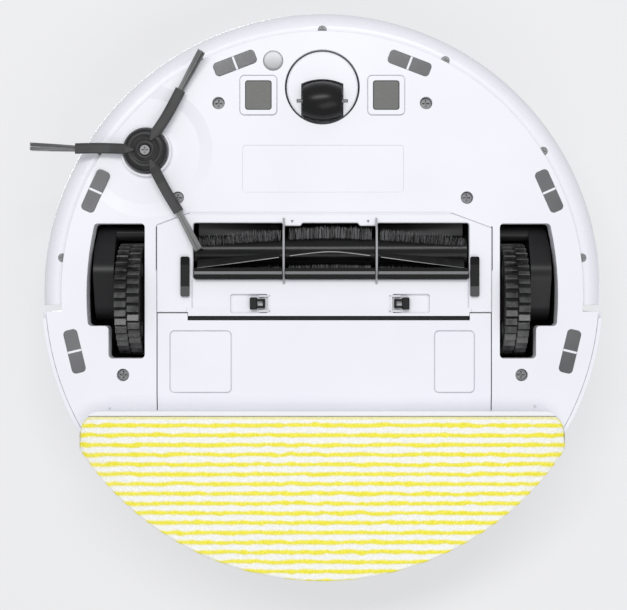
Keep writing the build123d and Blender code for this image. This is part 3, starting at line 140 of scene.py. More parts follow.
def add_stage_and_lights():
    one_sided_sheet("floor", 0.0, True)
    one_sided_sheet("backdrop", cad_box[1][2] + 1.0 * MM, False)
    world = bpy.data.worlds.new("studio")
    bpy.context.scene.world = world
    world.use_nodes = True
    sky = world.node_tree.nodes["Background"]
    sky.inputs["Color"].default_value = (0.95, 0.96, 1.0, 1)
    sky.inputs["Strength"].default_value = 0.60
    add_area_light("key_below", (-0.15, -0.65, -1.60), (1.3, 0.35), 12.0)
    add_area_light("fill_below", (0.5, 0.9, -1.6), (1.6, 0.9), 6.5)
    add_area_light("key_above", (-0.35, -0.4, 1.7), (0.9, 0.9), 10.0)
    add_area_light("fill_above", (1.1, 0.6, 1.3), (1.4, 1.4), 5.0)
    bpy.context.scene.view_settings.view_transform = "Standard"


# ---------------------------------------------------------------- materials
def start_material(name, roughness, metallic=0.0, bevel_mm=0.0, shine=0.5):
    """A Principled material, returned as a small kit for the functions below."""
    material = bpy.data.materials.new(name)
    material.use_nodes = True
    nodes = material.node_tree.nodes
    kit = {
        "material": material,
        "nodes": nodes,
        "links": material.node_tree.links,
        "bsdf": nodes["Principled BSDF"],
        "place": nodes.new("ShaderNodeTexCoord").outputs["Object"],
        "round": None,
    }
    kit["bsdf"].inputs["Roughness"].default_value = roughness
    kit["bsdf"].inputs["Metallic"].default_value = metallic
    kit["bsdf"].inputs["Specular IOR Level"].default_value = shine
    if bevel_mm:
        bevel = nodes.new("ShaderNodeBevel")
        bevel.samples = 4
        bevel.inputs["Radius"].default_value = bevel_mm * MM
        kit["round"] = bevel.outputs["Normal"]
        kit["links"].new(kit["round"], kit["bsdf"].inputs["Normal"])
    return kit


def noise(kit, scale, detail=2.0, stretch=None):
    """Noise over the piece; scale is in cycles per metre, and stretch multiplies it along each axis."""
    texture = kit["nodes"].new("ShaderNodeTexNoise")
    texture.inputs["Scale"].default_value = scale
    texture.inputs["Detail"].default_value = detail
    source = kit["place"]
    if stretch:
        mapping = kit["nodes"].new("ShaderNodeMapping")
        mapping.inputs["Scale"].default_value = stretch
        kit["links"].new(source, mapping.inputs["Vector"])
        source = mapping.outputs["Vector"]
    kit["links"].new(source, texture.inputs["Vector"])
    return texture.outputs["Fac"]


def ramp(kit, factor, low, high, low_at=0.35, high_at=0.65):
    """The low colour up to low_at, the high colour from high_at, and a blend between them."""
    node = kit["nodes"].new("ShaderNodeValToRGB")
    node.color_ramp.elements[0].position = low_at
    node.color_ramp.elements[1].position = high_at
    node.color_ramp.elements[0].color = (*low, 1)
    node.color_ramp.elements[1].color = (*high, 1)
    kit["links"].new(factor, node.inputs["Fac"])
    return node.outputs["Color"]


def blend(kit, factor, first, second):
    """Mix two colours. Each of them is a socket, or a fixed colour."""
    mix = kit["nodes"].new("ShaderNodeMix")
    mix.data_type = "RGBA"
    sockets = [socket for socket in mix.inputs if socket.type == "RGBA"]
    for socket, colour in zip(sockets, (first, second)):
        if isinstance(colour, tuple):
            socket.default_value = (*colour, 1)
        else:
            kit["links"].new(colour, socket)
    weight = next(socket for socket in mix.inputs if socket.name == "Factor" and socket.type == "VALUE")
    kit["links"].new(factor, weight)
    return next(socket for socket in mix.outputs if socket.type == "RGBA")


def vary_roughness(kit, factor, low, high):
    node = kit["nodes"].new("ShaderNodeMapRange")
    node.inputs["To Min"].default_value = low
    node.inputs["To Max"].default_value = high
    kit["links"].new(factor, node.inputs["Value"])
    kit["links"].new(node.outputs["Result"], kit["bsdf"].inputs["Roughness"])


def bump(kit, height, depth_mm):
    """Add relief on top of the softened edges and any earlier relief."""
    node = kit["nodes"].new("ShaderNodeBump")
    node.inputs["Distance"].default_value = depth_mm * MM
    node.inputs["Strength"].default_value = 1.0
    kit["links"].new(height, node.inputs["Height"])
    if kit["round"]:
        kit["links"].new(kit["round"], node.inputs["Normal"])
    kit["links"].new(node.outputs["Normal"], kit["bsdf"].inputs["Normal"])
    kit["round"] = node.outputs["Normal"]


def edge_wear(kit, colour, worn, amount):
    """Blend the colour towards the worn shade where the softened normal leaves the face's own."""
    face = kit["nodes"].new("ShaderNodeNewGeometry")
    dot = kit["nodes"].new("ShaderNodeVectorMath")
    dot.operation = "DOT_PRODUCT"
    kit["links"].new(face.outputs["True Normal"], dot.inputs[0])
    kit["links"].new(kit["round"], dot.inputs[1])
    wear = kit["nodes"].new("ShaderNodeMapRange")
    wear.inputs["From Min"].default_value = 0.99
    wear.inputs["From Max"].default_value = 0.80
    wear.inputs["To Max"].default_value = amount
    kit["links"].new(dot.outputs["Value"], wear.inputs["Value"])
    return blend(kit, wear.outputs["Result"], colour, worn)


def moulded_plastic(name, low, high, rough=(0.30, 0.42), grain_mm=0.5, depth_mm=0.02):
    """Moulded plastic: slow colour drift, a fine spark-eroded grain, and softened, rubbed edges."""
    kit = start_material(name, rough[0], bevel_mm=0.4, shine=0.5 if high[0] > 0.1 else 0.25)
    drift = noise(kit, 14.0, 3.0)
    # rubbing greys a pale plastic and pales a dark one
    worn = tuple(0.62 * c if c > 0.4 else 1.6 * c + 0.02 for c in high)
    colour = edge_wear(kit, ramp(kit, drift, low, high), worn, 0.5)
    kit["links"].new(colour, kit["bsdf"].inputs["Base Color"])
    grain = noise(kit, 1.0 / (grain_mm * MM), 2.0)
    vary_roughness(kit, noise(kit, 55.0, 4.0), *rough)
    bump(kit, grain, depth_mm)
    return kit["material"]


def rubber(name, low, high, dust=0.0, rough=(0.42, 0.62)):
    """Matt rubber with a fine grain and, on the tyres, a trace of dust."""
    kit = start_material(name, 0.6, bevel_mm=0.25)
    fine = noise(kit, 900.0, 3.0)
    cloud = noise(kit, 120.0, 4.0)
    base = ramp(kit, cloud, low, high)
    if dust:
        patches = kit["nodes"].new("ShaderNodeMapRange")
        patches.inputs["From Min"].default_value = 0.55
        patches.inputs["From Max"].default_value = 0.80
        patches.inputs["To Max"].default_value = 0.5
        kit["links"].new(noise(kit, 300.0, 5.0), patches.inputs["Value"])
        base = blend(kit, patches.outputs["Result"], base, (dust, dust, dust * 0.97))
    kit["links"].new(base, kit["bsdf"].inputs["Base Color"])
    vary_roughness(kit, cloud, *rough)
    bump(kit, fine, 0.03)
    return kit["material"]


def share_of_way(kit, ends):
    """How far along Y a point is between the two ends, from 0 to 1."""
    split = kit["nodes"].new("ShaderNodeSeparateXYZ")
    share = kit["nodes"].new("ShaderNodeMapRange")
    share.inputs["From Min"].default_value = ends[0]
    share.inputs["From Max"].default_value = ends[1]
    kit["links"].new(kit["place"], split.inputs[0])
    kit["links"].new(split.outputs["Y"], share.inputs["Value"])
    return share.outputs["Result"]


def rubber_with_painted_light_bands(name, bands, ends):
    """Rubber painted in bands of grey from its front end to its rear end: painted shade and painted
    highlight where the light falls differently across the piece.
    """
    kit = start_material(name, 0.5, bevel_mm=0.3, shine=0.15)
    shades = kit["nodes"].new("ShaderNodeValToRGB")
    shades.color_ramp.interpolation = "CONSTANT"
    stops = shades.color_ramp.elements
    for index, (start, shade) in enumerate(bands):
        stop = stops[index] if index < 2 else stops.new(start)
        stop.position = start
        stop.color = (shade, shade, shade, 1)
    kit["links"].new(share_of_way(kit, ends), shades.inputs["Fac"])
    kit["links"].new(shades.outputs["Color"], kit["bsdf"].inputs["Base Color"])
    vary_roughness(kit, noise(kit, 300.0, 3.0), 0.40, 0.60)
    bump(kit, noise(kit, 1200.0, 2.0), 0.03)
    return kit["material"]


def frosted_lens():
    """A frosted dome, darker towards its rear edge."""
    kit = start_material("frosted_lens", 0.2)
    shade = ramp(kit, share_of_way(kit, LENS_ENDS), (0.66, 0.66, 0.68), (0.30, 0.30, 0.31), 0.2, 1.0)
    kit["links"].new(shade, kit["bsdf"].inputs["Base Color"])
    vary_roughness(kit, noise(kit, 200.0, 3.0), 0.15, 0.28)
    bump(kit, noise(kit, 900.0, 2.0), 0.01)
    return kit["material"]


def metal(name, low, high, across, rough=(0.25, 0.40)):
    """Plated or brushed metal; the larger a number in across, the finer the grain along that axis."""
    kit = start_material(name, rough[0], metallic=0.9, bevel_mm=0.2)
    lines = noise(kit, 260.0, 4.0, stretch=across)
    kit["links"].new(ramp(kit, lines, low, high), kit["bsdf"].inputs["Base Color"])
    vary_roughness(kit, lines, *rough)
    bump(kit, lines, 0.01)
    return kit["material"]


def fibre(name, low, high, rough):
    """Nylon filament: each strand takes its own shade from the strand attribute."""
    kit = start_material(name, rough)
    strand = kit["nodes"].new("ShaderNodeAttribute")
    strand.attribute_name = "strand"
    shade = ramp(kit, strand.outputs["Fac"], low, high, 0.0, 1.0)
    kit["links"].new(shade, kit["bsdf"].inputs["Base Color"])
    vary_roughness(kit, noise(kit, 400.0, 2.0), rough - 0.1, rough + 0.1)
    bump(kit, noise(kit, 3000.0, 1.0), 0.01)
    return kit["material"]


def striped_fleece():
    """Microfibre: white pile with woven yellow stripes, a soft sheen and a tufted surface."""
    kit = start_material("striped_fleece", 0.9)
    stripe = kit["nodes"].new("ShaderNodeAttribute")
    stripe.attribute_name = "stripe"
    tufts = noise(kit, 900.0, 4.0)
    white = ramp(kit, tufts, (0.87, 0.87, 0.80), (0.96, 0.96, 0.93))
    yellow = ramp(kit, tufts, (0.84, 0.75, 0.02), (0.97, 0.89, 0.10))
    shade = blend(kit, stripe.outputs["Fac"], white, yellow)
    kit["links"].new(shade, kit["bsdf"].inputs["Base Color"])
    kit["bsdf"].inputs["Sheen Weight"].default_value = 0.25
    kit["bsdf"].inputs["Sheen Roughness"].default_value = 0.5
    vary_roughness(kit, tufts, 0.8, 0.98)
    bump(kit, noise(kit, 1600.0, 3.0, stretch=(1, 0.35, 1)), 0.25)
    return kit["material"]


def circuit_board():
    """Green solder mask with faint copper tracks."""
    kit = start_material("circuit_board", 0.4)
    tracks = kit["nodes"].new("ShaderNodeTexBrick")
    tracks.inputs["Scale"].default_value = 60.0
    tracks.inputs["Mortar Size"].default_value = 0.03
    tracks.inputs["Color1"].default_value = (0.02, 0.16, 0.06, 1)
    tracks.inputs["Color2"].default_value = (0.02, 0.20, 0.08, 1)
    tracks.inputs["Mortar"].default_value = (0.10, 0.34, 0.14, 1)
    kit["links"].new(kit["place"], tracks.inputs["Vector"])
    kit["links"].new(tracks.outputs["Color"], kit["bsdf"].inputs["Base Color"])
    vary_roughness(kit, noise(kit, 90.0), 0.3, 0.5)
    bump(kit, tracks.outputs["Fac"], 0.05)
    return kit["material"]


# where each painted band starts, as a share of the way from front to rear, and its grey
# guard pads: the black front band is painted shade and the pale rear band a painted highlight, for facets
# that face the light differently
PAD_PAINTED_LIGHT_BANDS = ((0.0, 0.002), (0.2, 0.016), (0.74, 0.085))
# squeegee: the pale middle band is a painted highlight along its rounded lip
SQUEEGEE_PAINTED_HIGHLIGHT_BANDS = ((0.0, 0.008), (0.33, 0.260), (0.58, 0.012))
# the front and rear end of each piece, along Y
PAD_ENDS = (-21.9 * MM, 2.9 * MM)
SQUEEGEE_ENDS = (-14.8 * MM, -8.1 * MM)
LENS_ENDS = (-149.0 * MM, -137.0 * MM)


def grey(level):
    return (level, level, level)


def white_plastics():
    white = (0.86, 0.86, 0.90)
    return {
        "shell": moulded_plastic(
            "white_shell", (0.84, 0.84, 0.88), white,
            rough=(0.22, 0.32), grain_mm=0.6, depth_mm=0.008,
        ),
        "plate": moulded_plastic(
            "white_plate", (0.83, 0.83, 0.87), white,
            rough=(0.34, 0.46), grain_mm=0.5, depth_mm=0.012,
        ),
        "tank": moulded_plastic(
            "tank_white", (0.83, 0.83, 0.88), white,
            rough=(0.30, 0.40), grain_mm=0.5, depth_mm=0.010,
        ),
    }


def black_plastics():
    return {
        "window": moulded_plastic(
            "smoked_window", (0.010, 0.010, 0.012), (0.016, 0.016, 0.018), rough=(0.08, 0.16),
        ),
        "dark": moulded_plastic(
            "dark_plastic", grey(0.008), (0.014, 0.014, 0.015),
            rough=(0.38, 0.55), grain_mm=0.6, depth_mm=0.03,
        ),
        "arm": moulded_plastic(
            "arm_plastic", grey(0.010), (0.016, 0.016, 0.017),
            rough=(0.26, 0.36), grain_mm=0.5, depth_mm=0.01,
        ),
        "roller": moulded_plastic(
            "roller_core", grey(0.004), grey(0.007),
            rough=(0.16, 0.26), grain_mm=0.8, depth_mm=0.01,
        ),
        "hub": moulded_plastic(
            "brush_hub", grey(0.016), (0.024, 0.024, 0.025),
            rough=(0.28, 0.38), grain_mm=0.4, depth_mm=0.02,
        ),
        "chamber": moulded_plastic(
            "chamber_plastic", grey(0.006), grey(0.009),
            rough=(0.5, 0.6), grain_mm=0.6, depth_mm=0.006,
        ),
        "gloss": moulded_plastic(
            "caster_black", grey(0.005), grey(0.009),
            rough=(0.24, 0.32), grain_mm=0.9, depth_mm=0.004,
        ),
    }


def other_plastics():
    return {
        "grey": moulded_plastic(
            "grey_plastic", (0.30, 0.30, 0.31), (0.38, 0.38, 0.39), rough=(0.38, 0.52),
        ),
        "sensor": moulded_plastic(
            "sensor_window", (0.10, 0.10, 0.104), (0.19, 0.19, 0.195), rough=(0.14, 0.24),
        ),
        "button": moulded_plastic(
            "button_grey", (0.62, 0.62, 0.64), (0.68, 0.68, 0.70), rough=(0.22, 0.32),
        ),
        "arrow": moulded_plastic("tab_arrow", (0.20, 0.20, 0.21), (0.26, 0.26, 0.27)),
        "battery": moulded_plastic(
            "battery_wrap", (0.02, 0.06, 0.22), (0.03, 0.08, 0.28), rough=(0.2, 0.4),
        ),
        "filter": moulded_plastic(
            "filter_paper", (0.74, 0.72, 0.64), (0.84, 0.82, 0.75),
            rough=(0.8, 0.95), grain_mm=0.3, depth_mm=0.06,
        ),
    }


def rubbers():
    return {
        "rubber": rubber("black_rubber", grey(0.008), grey(0.016)),
        "tyre": rubber("tyre_rubber", grey(0.018), grey(0.075), dust=0.14, rough=(0.18, 0.34)),
        # the tyre under the lugs: a near-black copy of the tyre rubber, painted shade for the grooves
        # between the lugs
        "tyre_groove_shade": rubber("tyre_groove_painted_shade", grey(0.002), grey(0.004), dust=0.02, rough=(0.7, 0.9)),
        "arm_rubber": rubber("side_brush_rubber", grey(0.020), (0.040, 0.040, 0.041)),
        # a pale grey copy of the black blade rubber: painted highlight along the roller blades' edges
        "blade_edge_highlight": rubber("blade_edge_highlight", grey(0.34), grey(0.48)),
        # matt black for the strip in the gap behind the guard: painted shade
        "gap_shade": rubber("gap_shade_black", grey(0.010), grey(0.018), rough=(0.8, 0.95)),
        # the guard pads and the squeegee take rubber with painted shade and painted highlight in bands
        "pad": rubber_with_painted_light_bands("pad_rubber_painted_light", bands=PAD_PAINTED_LIGHT_BANDS, ends=PAD_ENDS),
        "squeegee": rubber_with_painted_light_bands("squeegee_rubber_painted_highlight", bands=SQUEEGEE_PAINTED_HIGHLIGHT_BANDS, ends=SQUEEGEE_ENDS),
    }


def metals():
    return {
        "contact": metal(
            "contact_plate", (0.135, 0.137, 0.130), (0.165, 0.167, 0.160),
            across=(1, 12, 1), rough=(0.50, 0.60),
        ),
        "screw": metal(
            "screw_zinc", (0.20, 0.20, 0.205), (0.34, 0.34, 0.345),
            across=(10, 10, 10), rough=(0.50, 0.62),
        ),
        "spring": metal("spring_wire", (0.42, 0.42, 0.43), (0.55, 0.55, 0.56), across=(10, 10, 10)),
        "motor": metal("motor_can", (0.45, 0.45, 0.46), (0.60, 0.60, 0.61), across=(30, 30, 1)),
    }


def fibres_and_others():
    return {
        "bristle": fibre("roller_bristle", grey(0.006), (0.34, 0.34, 0.345), rough=0.45),
        "side_bristle": fibre("side_bristle", grey(0.06), grey(0.32), rough=0.5),
        "fleece": striped_fleece(),
        "board": circuit_board(),
        "lens": frosted_lens(),
    }


def make_materials():
    """Every finish, by a plain name."""
    groups = (white_plastics, black_plastics, other_plastics, rubbers, metals, fibres_and_others)
    finishes = {}
    for group in groups:
        finishes.update(group())
    return finishes


# which finish each CAD node takes; the redrawn pieces bring their own
FINISHED_NODES = {
    "shell": ("upper_shell", "top_cover", "bumper", "lidar_cap"),
    "plate": ("base_plate", "cliff_sensor_frames", "brush_guard", "mop_plate", "caster_fork"),
    "tank": ("tank_shell", "tank_lid"),
    "window": ("bumper_window",),
    "dark": (
        "fan_housing", "brush_gearbox", "side_brush_gearbox", "lidar_base", "lidar_rotor",
        "left_wheel_housing", "right_wheel_housing",
    ),
    "arm": ("left_wheel_arm", "right_wheel_arm"),
    "roller": ("brush_core",),
    "grey": ("fan_impeller", "guard_ribs", "lidar_pulley", "left_wheel_hub", "right_wheel_hub"),
    "sensor": ("cliff_sensor_lenses",),
    "lens": ("ir_lens",),
    "button": ("power_button", "home_button", "tank_button"),
    "battery": ("battery_pack",),
    "board": ("main_board",),
    "filter": ("tank_filter",),
    "pad": ("guard_pads",),
    "squeegee": ("squeegee",),
    "chamber": ("brush_chamber",),
    "gloss": ("caster_wheel",),
    "rubber": ("lidar_belt",),
    "contact": ("charging_contacts",),
    "screw": ("bumper_screws", "chassis_screws", "side_brush_screw", "caster_axle"),
    "spring": ("suspension_springs",),
    "motor": ("fan_motor", "brush_motor", "lidar_motor"),
}


def finish_nodes(finishes):
    for finish, nodes in FINISHED_NODES.items():
        for node in nodes:
            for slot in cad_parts[node].material_slots:
                slot.material = finishes[finish]


# ---------------------------------------------------------------- mesh helpers
def new_piece(name, points, faces, material, body, replaces=(), smooth=False):
    """Make a mesh object that rides the body and stands for the CAD nodes it replaces."""
    mesh = bpy.data.meshes.new(name)
    mesh.from_pydata([tuple(p) for p in points], [], [tuple(f) for f in faces])
    mesh.materials.append(material)
    mesh.validate()
    mesh.update()
    piece = bpy.data.objects.new(name, mesh)
    bpy.context.collection.objects.link(piece)
    if smooth:
        mesh.polygons.foreach_set("use_smooth", [True] * len(mesh.polygons))
    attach(piece, body)
    if replaces:
        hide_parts(*replaces)
    return piece


def paint_points(piece, name, values):
    """Store one number for each point, which a material reads by name."""
    attribute = piece.data.attributes.new(name, "FLOAT", "POINT")
    attribute.data.foreach_set("value", np.asarray(values, dtype=np.float32))


def lathe(profile, centre, steps):
    """Points and faces of a round body; profile is a closed loop of (radius, z)."""
    points = []
    faces = []
    for step in range(steps):
        angle = 2 * math.pi * step / steps
        for r, z in profile:
            points.append(Vector((centre[0] + r * math.cos(angle), centre[1] + r * math.sin(angle), z)))
    size = len(profile)
    for step in range(steps):
        after = (step + 1) % steps
        for k in range(size):
            m = (k + 1) % size
            faces.append((step * size + k, after * size + k, after * size + m, step * size + m))
    return points, faces


def block(points, faces, low, high, round_off):
    """Add a box with chamfered vertical edges and a chamfered lower rim."""
    rim_lean = 0.3  # how much further in the lower rim's ends stand, as a share of the chamfer
    x0, y0, z0 = low
    x1, y1, z1 = high
    c = round_off
    at = len(points)
    outline = [(x0 + c, y0), (x1 - c, y0), (x1, y0 + c), (x1, y1 - c)]
    outline += [(x1 - c, y1), (x0 + c, y1), (x0, y1 - c), (x0, y0 + c)]
    for z, inset in ((z0, c), (z0 + c, 0.0), (z1, 0.0)):
        for x, y in outline:
            x = min(max(x, x0 + inset), x1 - inset)
            y = min(max(y, y0 + inset), y1 - inset)
            inward = -1 if x > (x0 + x1) / 2 else 1
            points.append((x + inset * rim_lean * inward, y, z))
    for level in range(2):
        a = at + level * 8
        for k in range(8):
            m = (k + 1) % 8
            faces.append((a + k, a + m, a + 8 + m, a + 8 + k))
    faces.append(tuple(at + k for k in reversed(range(8))))
    faces.append(tuple(at + 16 + k for k in range(8)))


class Strands:
    """Gathers many thin tapered prisms into one mesh."""

    def __init__(self, sides):
        self.sides = sides
        self.points = []
        self.faces = []
        self.shades = []

    def add(self, path, radii, shade):
        """path is a list of Vectors; radii is one radius for each."""
        first = len(self.points)
        for i, point in enumerate(path):
            ahead = path[min(i + 1, len(path) - 1)] - path[max(i - 1, 0)]
            across = ahead.orthogonal().normalized()
            other = ahead.cross(across).normalized()
            for k in range(self.sides):
                turn = 2 * math.pi * k / self.sides
                self.points.append(point + radii[i] * (math.cos(turn) * across + math.sin(turn) * other))
                self.shades.append(shade)
        rings = len(path)
        for i in range(rings - 1):
            for k in range(self.sides):
                a = first + i * self.sides + k
                b = first + i * self.sides + (k + 1) % self.sides
                self.faces.append((a, b, b + self.sides, a + self.sides))
        self.faces.append(tuple(first + k for k in reversed(range(self.sides))))
        last = first + (rings - 1) * self.sides
        self.faces.append(tuple(last + k for k in range(self.sides)))


# ---------------------------------------------------------------- mop pad
PAD_COLUMNS = 331  # samples across the pad
PAD_ROWS = 201  # samples from its front edge to its rear edge
PAD_CORNER_WIDTH = 7.0 * MM
PAD_CORNER_DEPTH = 12.0 * MM
PAD_RIM = 1.6 * MM  # how far in from the outline the fleece curls up
RIM_CURL = 1.3 * MM  # and how high
STRIPE_LINES = 19  # more than fit, so that each stripe on the pad has its own line
STRIPE_PITCH = 5.94 * MM
STRIPE_WIDTH = 2.5 * MM
STRIPE_FADE = 1.0 * MM
FIRST_STRIPE = 5.2 * MM  # behind the front edge
PILE_DEPTH = 0.75 * MM  # from the lowest point of the box up to the white pile
STRIPE_RELIEF = 0.45 * MM
FLEECE_GRAIN = 0.10 * MM
HEM_YELLOW = 0.55  # how yellow the hem along the front edge is


def smooth_noise(length, knots_apart, size):
    """A smooth random line of `length` samples, with a knot every `knots_apart` samples."""
    knots = dice.normal(0.0, size, int(length / knots_apart) + 4)
    at = np.arange(length) / knots_apart
    low = at.astype(int)
    share = at - low
    share = share * share * (3 - 2 * share)
    return knots[low] * (1 - share) + knots[low + 1] * share


def stripe_noise():
    """Each stripe's sideways wander and change of width, and the grain of the whole pad."""
    wander = []
    for _ in range(STRIPE_LINES):
        slow = smooth_noise(PAD_COLUMNS, 8, 0.22 * MM)
        wander.append(slow + smooth_noise(PAD_COLUMNS, 3, 0.12 * MM))
    swell = [smooth_noise(PAD_COLUMNS, 4, 0.18 * MM) for _ in range(STRIPE_LINES)]
    grain = dice.normal(0.0, 1.0, (PAD_COLUMNS, PAD_ROWS))
    grain = (grain + np.roll(grain, 1, 0) + np.roll(grain, 1, 1) + np.roll(grain, 2, 0)) / 2.0
    return wander, swell, grain


def half_moon(box, x):
    """The front and rear edge of the pad at x."""
    half = (box[1][0] - box[0][0]) / 2
    radius = box[1][1]
    front = box[0][1]
    rear = math.sqrt(max(radius**2 - x**2, 0.0))
    side = abs(x) - (half - PAD_CORNER_WIDTH)
    if side > 0:
        share = min(side / PAD_CORNER_WIDTH, 1.0)
        front = front + PAD_CORNER_DEPTH * (1 - math.sqrt(max(1 - share**2, 0.0)))
    return front, max(rear, front + 0.5 * MM)


def fleece_surface(low, high):
    """The pad's lower face, column by column, and how yellow each of its points is."""
    half = (high[0] - low[0]) / 2
    wander, swell, grain = stripe_noise()
    points = []
    stripe = []
    for i, x in enumerate(np.linspace(-half + 0.05 * MM, half - 0.05 * MM, PAD_COLUMNS)):
        front, rear = half_moon((low, high), x)
        for j in range(PAD_ROWS):
            y = front + (rear - front) * j / (PAD_ROWS - 1)
            from_front = y - low[1] - FIRST_STRIPE
            k = int(round(from_front / STRIPE_PITCH))
            k = min(max(k, 0), STRIPE_LINES - 1)
            off = abs(from_front - k * STRIPE_PITCH - wander[k][i])
            width = STRIPE_WIDTH / 2 + swell[k][i]
            share = 1.0 - min(max((off - width + STRIPE_FADE / 2) / STRIPE_FADE, 0.0), 1.0)
            ridge = share * math.sqrt(max(1 - min(off / (width + 0.3 * MM), 1.0) ** 2, 0.0))
            edge = min(j, PAD_ROWS - 1 - j) * (rear - front) / (PAD_ROWS - 1)
            edge = min(edge, half - abs(x) + 0.4 * MM)
            fall = 1.0 - min(edge / PAD_RIM, 1.0)
            depth = PILE_DEPTH - STRIPE_RELIEF * ridge - FLEECE_GRAIN * grain[i, j]
            depth = max(depth, 0.05 * MM) + RIM_CURL * fall * fall
            points.append((x, y, low[2] + depth))
            stripe.append(max(share, HEM_YELLOW if y - front < PAD_RIM else 0.0))
    return points, stripe


def make_mop_pad(finishes):
    low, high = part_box("mop_pad")
    points, stripe = fleece_surface(low, high)
    faces = []
    for i in range(PAD_COLUMNS - 1):
        for j in range(PAD_ROWS - 1):
            a = i * PAD_ROWS + j
            faces.append((a, a + 1, a + PAD_ROWS + 1, a + PAD_ROWS))
    rim = [i * PAD_ROWS for i in range(PAD_COLUMNS)]
    rim += [(PAD_COLUMNS - 1) * PAD_ROWS + j for j in range(1, PAD_ROWS)]
    rim += [i * PAD_ROWS + PAD_ROWS - 1 for i in reversed(range(PAD_COLUMNS - 1))]
    rim += [j for j in reversed(range(1, PAD_ROWS - 1))]
    lid = len(points)
    count = len(rim)
    points += [(points[index][0], points[index][1], high[2]) for index in rim]
    stripe += [0.0] * count
    for n in range(count):
        m = (n + 1) % count
        faces.append((rim[n], rim[m], lid + m, lid + n))
    faces.append(tuple(lid + n for n in range(count)))
    pad = new_piece(
        "striped_mop_pad", points, faces, finishes["fleece"], "mop", ("mop_pad",),
    )
    for polygon in pad.data.polygons:
        polygon.use_smooth = len(polygon.vertices) == 4
    paint_points(pad, "stripe", stripe)


# ---------------------------------------------------------------- tyres
LUGS = 38
LUG_HEIGHT = 3.0 * MM
LUG_STEP = 1.9 * MM  # how much lower one side of each lug is than the other
LUG_HALF_WIDTH = 0.33  # as a share of the pitch
LUG_HALF_TOP = 0.27
TYRE_THICKNESS = 5.5 * MM
TYRE_SHOULDER = 0.9 * MM
TREAD_GROOVE = 0.5 * MM  # between the two rows of lugs
TYRE_STEPS = 132


def around_axle(middle, x, r, angle):
    return middle + Vector((x, r * math.cos(angle), r * math.sin(angle)))


def add_carcass(points, faces, middle, half, radius):
    """The plain tyre under the lugs, which takes the near-black painted-shade rubber."""
    floor = radius - LUG_HEIGHT
    bore = radius - TYRE_THICKNESS
    shape = [(-half + 0.2 * MM, bore), (-half, bore + 0.8 * MM), (-half, floor - TYRE_SHOULDER)]
    shape += [(-half + TYRE_SHOULDER, floor), (half - TYRE_SHOULDER, floor)]
    shape += [(half, floor - TYRE_SHOULDER), (half, bore + 0.8 * MM), (half - 0.2 * MM, bore)]
    for step in range(TYRE_STEPS):
        for x, r in shape:
            points.append(around_axle(middle, x, r, 2 * math.pi * step / TYRE_STEPS))
    ring = len(shape)
    for step in range(TYRE_STEPS):
        after = (step + 1) % TYRE_STEPS
        for k in range(ring):
            m = (k + 1) % ring
            faces.append((step * ring + k, step * ring + m, after * ring + m, after * ring + k))


def add_lug(points, faces, middle, radius, inner, outer, angle):
    """One lug from x inner to x outer: a wedge, narrower at its top."""
    pitch = 2 * math.pi / LUGS
    inset = 0.25 * MM
    row = 1 if outer > inner else -1
    first = len(points)
    for level, grow in enumerate((LUG_HALF_WIDTH, LUG_HALF_WIDTH, LUG_HALF_TOP)):
        near = inner + row * inset if level == 2 else inner
        far = outer - row * inset if level == 2 else outer
        for x, s in ((near, -1), (far, -1), (far, 1), (near, 1)):
            top = radius - (LUG_STEP if s < 0 else 0.0)
            r = (radius - LUG_HEIGHT - 0.3 * MM, top - 0.3 * MM, top)[level]
            points.append(around_axle(middle, x, r, angle + s * grow * pitch))
    for level in range(2):
        for k in range(4):
            a = first + level * 4 + k
            b = first + level * 4 + (k + 1) % 4
            faces.append((a, b, b + 4, a + 4))
    faces.append(tuple(first + 8 + k for k in range(4)))
    faces.append(tuple(first + k for k in reversed(range(4))))


def make_tyre(side, finishes):
    low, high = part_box(side + "_tyre")
    radius = (high[2] - low[2]) / 2
    middle = Vector((low[0] + high[0], low[1] + high[1], low[2] + high[2])) / 2
    half = (high[0] - low[0]) / 2
    points = []
    faces = []
    add_carcass(points, faces, middle, half, radius)
    carcass_faces = len(faces)
    for row, shift in ((-1, 0.0), (1, 0.5)):
        inner = row * TREAD_GROOVE / 2
        outer = row * (half - 0.35 * MM)
        for lug in range(LUGS):
            angle = 2 * math.pi / LUGS * (lug + shift)
            add_lug(points, faces, middle, radius, inner, outer, angle)
    tyre = new_piece(
        side + "_lugged_tyre", points, faces, finishes["tyre_groove_shade"],
        side + "_wheel", (side + "_tyre",),
    )
    # the lugs take the tyre rubber; the tyre under them keeps the near-black copy as painted shade in the
    # grooves
    tyre.data.materials.append(finishes["tyre"])
    for lug_face in tyre.data.polygons[carcass_faces:]:
        lug_face.material_index = 1


# ---------------------------------------------------------------- roller bristles and blades
ROLLER_ROWS = 3  # of bristles, with a rubber blade after each
ROW_TWIST = 40  # degrees that each row winds back from the middle to its ends
FIRST_ROW = -152  # degrees
BLADE_AFTER_ROW = 60  # degrees
TUFTS_PER_ROW = 300
LANE_SPREAD = 4.5  # degrees between the three lanes of a row
BLADE_STEPS = 150
BLADE_HALF_THICK = 0.055  # radians
LONGEST_BRISTLE = 17.6 * MM  # from the roller's axis
RIB_ROOM = 2.6 * MM  # kept free on either side of each guard rib


